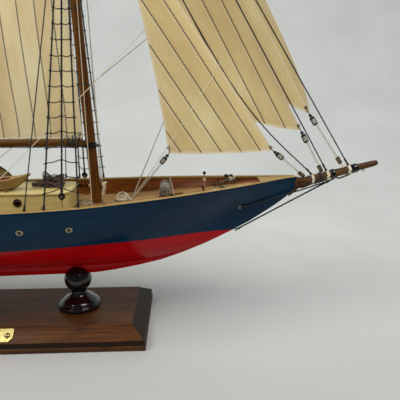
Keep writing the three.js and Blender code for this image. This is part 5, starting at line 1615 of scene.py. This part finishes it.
# windlass: saddles with their caps, a speckled drum with whelps and a perforated head
WINDLASS = vec(193, 0, 142)
bag = Bag()
z0 = deck_top(193, 0)
bag.box((187, -10.4, z0), (206, 10.4, z0 + 1.6), BULWARK, 0.4)
for s in (-1, 1):
    cap = [(3.6 * math.cos(a), 142 + 3.6 * math.sin(a)) for a in np.radians(np.linspace(0, 180, 9))]
    profile = [(-3.7, z0 + 1.6), (3.7, z0 + 1.6), (3.2, 139.4), *cap, (-3.2, 139.4)]
    bag.rings([[(193 + a * k, s * 8 + d, b) for a, b in profile]
               for d, k in ((-1.2, 0.94), (-0.9, 1), (0.9, 1), (1.2, 0.94))], BULWARK)
bag.tube([(197.5, 14.5, 149.5), (199.6, 5, 142.4), (201.4, -2.6, z0 + 2.4)], [0.7, 0.9, 1.05], HANDSPIKE)
bag.tube([(198.6, 1.4, z0 + 2.2), (210.5, 2.6, deck_top(210, 2) + 1.4)], [0.95, 0.7], BULWARK)
bag.done("windlass_saddles", slot="mast", replaces=["windlass_bitts"])

bag = Bag()
half = [(0, 14), (4.2, 14), (4.9, 13.8), (5.3, 13.2), (5.3, 10.8), (4.9, 10.1), (2.6, 9.7), (2.5, 6.3),
        (4.6, 5.9), (4.9, 5.4), (4.5, 2)]
profile = [(r, -y) for r, y in half] + [(4.4, 0)] + half[::-1]
bag.lathe(profile, WINDLASS, CASTING, (0, 1, 0), 30)
for a in around(8):
    c = WINDLASS + vec(4.5 * math.cos(a), 0, 4.5 * math.sin(a))
    bag.tube([c - vec(0, 5.2, 0), c + vec(0, 5.2, 0)], 0.5, CASTING, 6)
for s in (-1, 1):
    bag.rod(WINDLASS, 0.95, 13.98, 14.25, IRON, (0, s, 0), 14)
    for big, count in ((2.3, 7), (3.9, 12)):
        for a in around(count):
            c = WINDLASS + vec(big * math.cos(a), 0, big * math.sin(a))
            bag.rod(c, 0.46, 13.98, 14.22, IRON, (0, s, 0), 8)
bag.done("windlass_drum", "windlass_barrel", "pewter", ["windlass_barrel"])


def anchor(node, start, end, arms_way, wrapped):
    """A stocked anchor: tapered shank, curved arms with palms, ring and stock."""
    bag = Bag()
    a, b = vec(*start), vec(*end)
    w, mid = unit(b - a), (a + b) / 2
    side = unit(vec(*arms_way) - w * np.dot(vec(*arms_way), w))
    flat = np.cross(w, side)
    bag.tube([a, mid, b], [1.0, 1.2, 1.5], PEWTER)
    ts = np.linspace(-1, 1, 15)
    arms = [b - w * (7.4 * abs(t) ** 1.7) + side * t * 7.6 for t in ts]
    bag.tube(arms, 0.55 + 0.75 * (1 - abs(ts)), PEWTER)
    for t in (-1, 1):
        axes = np.array([unit(side * t - w * 1.1), flat, unit(side * t * 1.1 + w)])
        bag.blob(b - w * 5.6 + side * t * 6.6, (2.3, 2.0, 0.4), PEWTER, axes, 2.4)
    stock = a + w * 2.6
    bag.tube([stock - flat * 6.5, stock + flat * 6.5], 0.85, BULWARK if wrapped else IRON)
    for t in (-1, 1):
        bag.blob(stock + flat * t * 6.5, (1.1, 1.1, 1.1), IRON, n=10, m=7)
    bag.torus(a - w * 1.6, 1.7, 0.42, IRON, flat, 20)
    if wrapped:
        wound(bag, b - w * 3.4, w, 2.0, 0.55, 6, HEM)
        wound(bag, b - w * 3.2 + side, w + side * 0.6, 2.9, 0.55, 3, BROWN)
        bag.blob(b - w * 2 + vec(0, 0, 0.6), (2.8, 2.2, 2.4), HEM, power=2.2)
    else:
        wound(bag, mid, w, 1.45, 0.36, 5, LIGHT)
        bag.rope(curve(mid + [(0, 0, 1), (3, 1.5, -0.6), (5, 2.6, -1.6)], 5), 0.36, LIGHT)
    bag.done(f"{node}_stowed", slot="pewter", replaces=[node])


def over_deck(x, y, lift):
    return vec(x, y, deck_top(x, y) + lift)


anchor("anchor_starboard", over_deck(227, -13.5, 2.2), over_deck(253, -12.5, 2.2), (0, 1, 0.15), False)
anchor("anchor_port", over_deck(243, 10, 2.4), (262, 17.5, 148.6), (0.1, 1, 0.5), True)

# pawl post, knighthead plank, cleats and pin rails
bag = Bag()
foot = over_deck(231.6, 15, 0)
post = [(0, -0.2), (1.7, -0.2), (1.7, 0.9), (1.1, 1.5), (0.75, 3), (0.75, 8), (1.0, 9), (0.75, 10),
        (0.7, 14.6), (0, 14.6)]
bag.lathe(post, foot, PIN, seg=16)
bag.lathe([(0, 14.4), (1.5, 14.4), (1.7, 15.2), (1.2, 16.4), (0.5, 17), (0, 17)], foot, IRON, seg=18)
wound(bag, foot + vec(0, 0, 9), (0, 0, 1), 1.1, 0.34, 5, LIGHT)
rows = []
for x in np.linspace(283.5, 317.5, 16):
    z = fair(RAIL_Z, x) - 0.55
    w = max(half_breadth(x, z + 0.55) - 3.2, 0.5)
    across_deck = np.linspace(w, -w, 5)
    rows.append([(x, y, z) for y in across_deck] + [(x, y, z - 1.3) for y in across_deck[::-1]])
bag.rings(rows, RAIL)
PIN_SHAPE = [(0, -4.6), (0.45, -4.4), (0.55, 0), (0.95, 0.2), (0.95, 1), (0.7, 2.4), (0.9, 3.4), (0.4, 4.2),
             (0, 4.2)]
for s in (-1, 1):
    for x in (142, 24, -110, -250):
        x, y, z = over_deck(x, s * (inside_y(x, deck_top(x, 60)) - 7), 0)
        bag.box((x - 1.6, y - 0.9, z - 0.1), (x + 1.6, y + 0.9, z + 1.6), TRIM, 0.4)
        bag.blob((x, y, z + 2.1), (4.4, 0.8, 0.75), TRIM, power=2.4)
    for x0 in (104, -96):
        for i in range(5):
            x = x0 - 6 + i * 5.5
            z = fair(RAIL_Z, x)
            at = vec(x, s * (inside_y(x, z - 5) - 2.4), z - 5.2)
            bag.lathe(PIN_SHAPE, at, TRIM, seg=12)
            if i % 2 == 0:
                wound(bag, at - vec(0, 0, 1.6), (0, 0, 1), 1.15, 0.34, 4, LIGHT if i else TAR, 0.8)
        path = [(x, s * (inside_y(x, fair(RAIL_Z, x) - 5) - 1.7), fair(RAIL_Z, x) - 5.4)
                for x in np.linspace(x0 - 10, x0 + 20, 12)]
        bag.tube(path, 1.5, BULWARK, 8, 0.45, up=(0, 0, 1))
bag.done("deck_fittings", slot="mast")

# hatch: the frame's coaming and lid, with battens, bars and rings
dress("main_hatch", TRIM, 0.3, 2)
dress("wheel_box", TRIM, 0.35, 2)
bag = Bag()
for y in np.arange(-11.2, 12, 5.6):
    bag.box((-57.4, y - 2.5, 132.65), (-28.6, y + 2.5, 133.3), RAIL, 0.25)
for x in (-53, -33):
    bag.box((x - 1, -12.6, 133.3), (x + 1, 12.6, 133.9), TRIM, 0.25)
    for s in (-1, 1):
        bag.torus((x, s * 8, 134.2), 1.1, 0.28, RINGS, (1, 0, 0))
bag.done("hatch_battens", slot="mast")

# aft cabin: sliding companion, skylight with barred glass, grab rails; and both houses' doors
bag = Bag()
z = CABIN_ROOF
bag.box((-166, -6.4, z), (-144, 6.4, z + 3.2), TRIM, 0.5)
bag.box((-162, -5.4, z + 3.2), (-143, 5.4, z + 4.2), BULWARK, 0.4)
bag.box((-204, -8.6, z), (-178, 8.6, z + 2.6), TRIM, 0.4)
for s in (-1, 1):
    bag.rings([[(x, s * 8.2, z + 2.6), (x, s * 0.4, z + 5.6), (x, s * 0.4, z + 4.9), (x, s * 7.6, z + 2.2)]
               for x in (-203.4, -178.6)], TRIM)
    for x in (-202, -194, -186):
        pane = vec(x, 0, z) + [(0, s * 7.2, 3.1), (6.4, s * 7.2, 3.1), (6.4, s * 1.6, 5.25),
                               (0, s * 1.6, 5.25)]
        bag.rings([pane, pane + (0, s * 0.12, 0.3)], GLASS)
        for j in range(4):
            bar = x + 0.8 + j * 1.6
            bag.tube([(bar, s * 7.2, z + 3.7), (bar, s * 1.6, z + 5.85)], 0.2, RINGS, 6)
    path = [(-212, s * 25, z), *((x, s * 25, z + 2.6) for x in range(-210, -144, 3)), (-142, s * 25, z)]
    bag.tube(path, 0.5, RINGS, 8, up=(0, 1, 0))
    for x in (-198, -184, -170, -156):
        bag.lathe([(0, 0), (0.8, 0), (0.45, 0.5), (0.4, 2.5), (0, 2.5)], (x, s * 25, z), RINGS, seg=10)
# each door's leaf in x and in height, its panels in x and in height, and its knob
DOORS = (
    ((-140.2, -139.3), (129.4, 146), (-139.5, -138.95), ((130.6, 136.6), (137.6, 145)),
     (-138.7, -1.1, 137.2)),
    ((-25.0, -24), (125.4, 141.4), (-25.3, -24.8), ((126.6, 132.4), (133.4, 140.6)), (-25.5, 1.1, 133)),
)
for leaf, tall, panel, heights, knob in DOORS:
    bag.box((leaf[0], -5.2, tall[0]), (leaf[1], 5.2, tall[1]), TRIM, 0.3)
    for a, b in ((-4.2, -0.4), (0.4, 4.2)):
        for low, high in heights:
            bag.box((panel[0], a, low), (panel[1], b, high), BULWARK, 0.25)
    bag.blob(knob, (0.5, 0.5, 0.5), RINGS)
bag.done("cabin_fittings", slot="mast")

# steering wheel: a turned rim and a hub on six spokes with handles
bag = Bag()
c = vec(-299.5, 0, 145.4)
rim = ((-0.8, 6.5), (-0.8, 7.8), (-0.4, 8), (0.4, 8), (0.8, 7.8), (0.8, 6.5), (0.4, 6.3), (-0.4, 6.3))
bag.rings([[c + vec(dx, r * math.cos(a), r * math.sin(a)) for dx, r in rim] for a in around(40)], TRIM,
          closed=True)
spoke = [(0, 1.2), (0.6, 1.2), (0.45, 2.6), (0.65, 4), (0.45, 6.2), (0.5, 8.1), (0.42, 8.4), (0.62, 9.1),
         (0.5, 9.7), (0, 9.8)]
for a in around(6):
    bag.lathe(spoke, c, MAST, (0, math.cos(a), math.sin(a)), 10)
bag.lathe([(0, -1.3), (1.4, -1.3), (1.8, -0.8), (1.8, 0.8), (1.4, 1.3), (0, 1.3)], c, TRIM, (1, 0, 0), 24)
bag.lathe([(0, 1.25), (0.8, 1.25), (0.6, 1.4), (0, 1.4)], c, RINGS, (-1, 0, 0), 16)
bag.done("ships_wheel", "steering_wheel", "mast", ["steering_wheel"])

# rudder: a planked blade with brass straps round its stock, and gudgeons on the sternpost
bag = Bag()
rows = []
for z, a, back in ((55, 0.4, -24.6), (56, 0, -25.6), (60, 0, -28.8), (66, 0, -28.6), (76, 0, -26),
                   (80, 0, -19.6), (82.4, 0, -15.2)):
    half = [(a, 1.5), (a - 2, 1.6), ((a + back) / 2, 1.25), (back + 1, 0.75), (back, 0.3)]
    rows.append([(x - 221, y, z) for x, y in half + [(x, -y) for x, y in half[::-1]]])
bag.rings(rows, PAINT)
bag.tube([(-222.2, 0, 54.6), (-222.2, 0, 83)], 1.85, PAINT, 16)
for z in (60, 70, 79):
    bag.box((-236, -1.95, z - 1.1), (-220.6, 1.95, z + 1.1), RINGS, 0.3)
bag.done("rudder_blade", "rudder", "navy", ["rudder"])
bag = Bag()
for z in (57.6, 67.6, 76.6):
    bag.box((-220.4, -1.5, z - 0.9), (-216.6, 1.5, z + 0.9), RINGS, 0.3)
bag.done("rudder_gudgeons", slot="brass")


# ---------------------------------------------------------------- floor
def build_floor():
    """Paper under and behind the model. Its front strip is left out of reflections, as the dim
    room in front of the real set is."""
    sweep = [(y, 0.0) for y in np.linspace(-0.27, 0.5, 6)] + [
        (0.5 + 0.9 * math.sin(a), 0.9 * (1 - math.cos(a))) for a in np.radians(np.linspace(6, 90, 15))
    ] + [(1.4, 4.0)]
    m = Mat("floor_paper", {"Roughness": 0.85, "Specular IOR Level": 0.2})
    # painted shade: the paper is darkened towards the front, for the dimmer light there
    near = m.place()[1].span(-300, 320, 1.0, 0.0)
    paper = m.ramp(m.noise(5, 4, 0.55), "cbcdca d5d7d4")
    m.done(m.mix(near, paper, "b8b9b7"), m.bump(m.noise(120, 3, 0.6), 0.08))
    for name, line in (("floor", sweep), ("floor_front", [(-2.4, 0.0), (-0.27, 0.0)])):
        rows = np.array([[(x, y, z - 0.0002) for x in np.linspace(-4, 4, 9)] for y, z in line])
        n = rows.shape[1]
        faces = [(i * n + j, i * n + j + 1, (i + 1) * n + j + 1, (i + 1) * n + j)
                 for i in range(len(rows) - 1) for j in range(n - 1)]
        mesh = bpy.data.meshes.new(name)
        mesh.from_pydata(rows.reshape(-1, 3).tolist(), [], faces)
        mesh.materials.append(m.m)
        mesh.polygons.foreach_set("use_smooth", [True] * len(mesh.polygons))
        ob = placed(name, mesh)
        ob.visible_glossy = name == "floor"


build_floor()
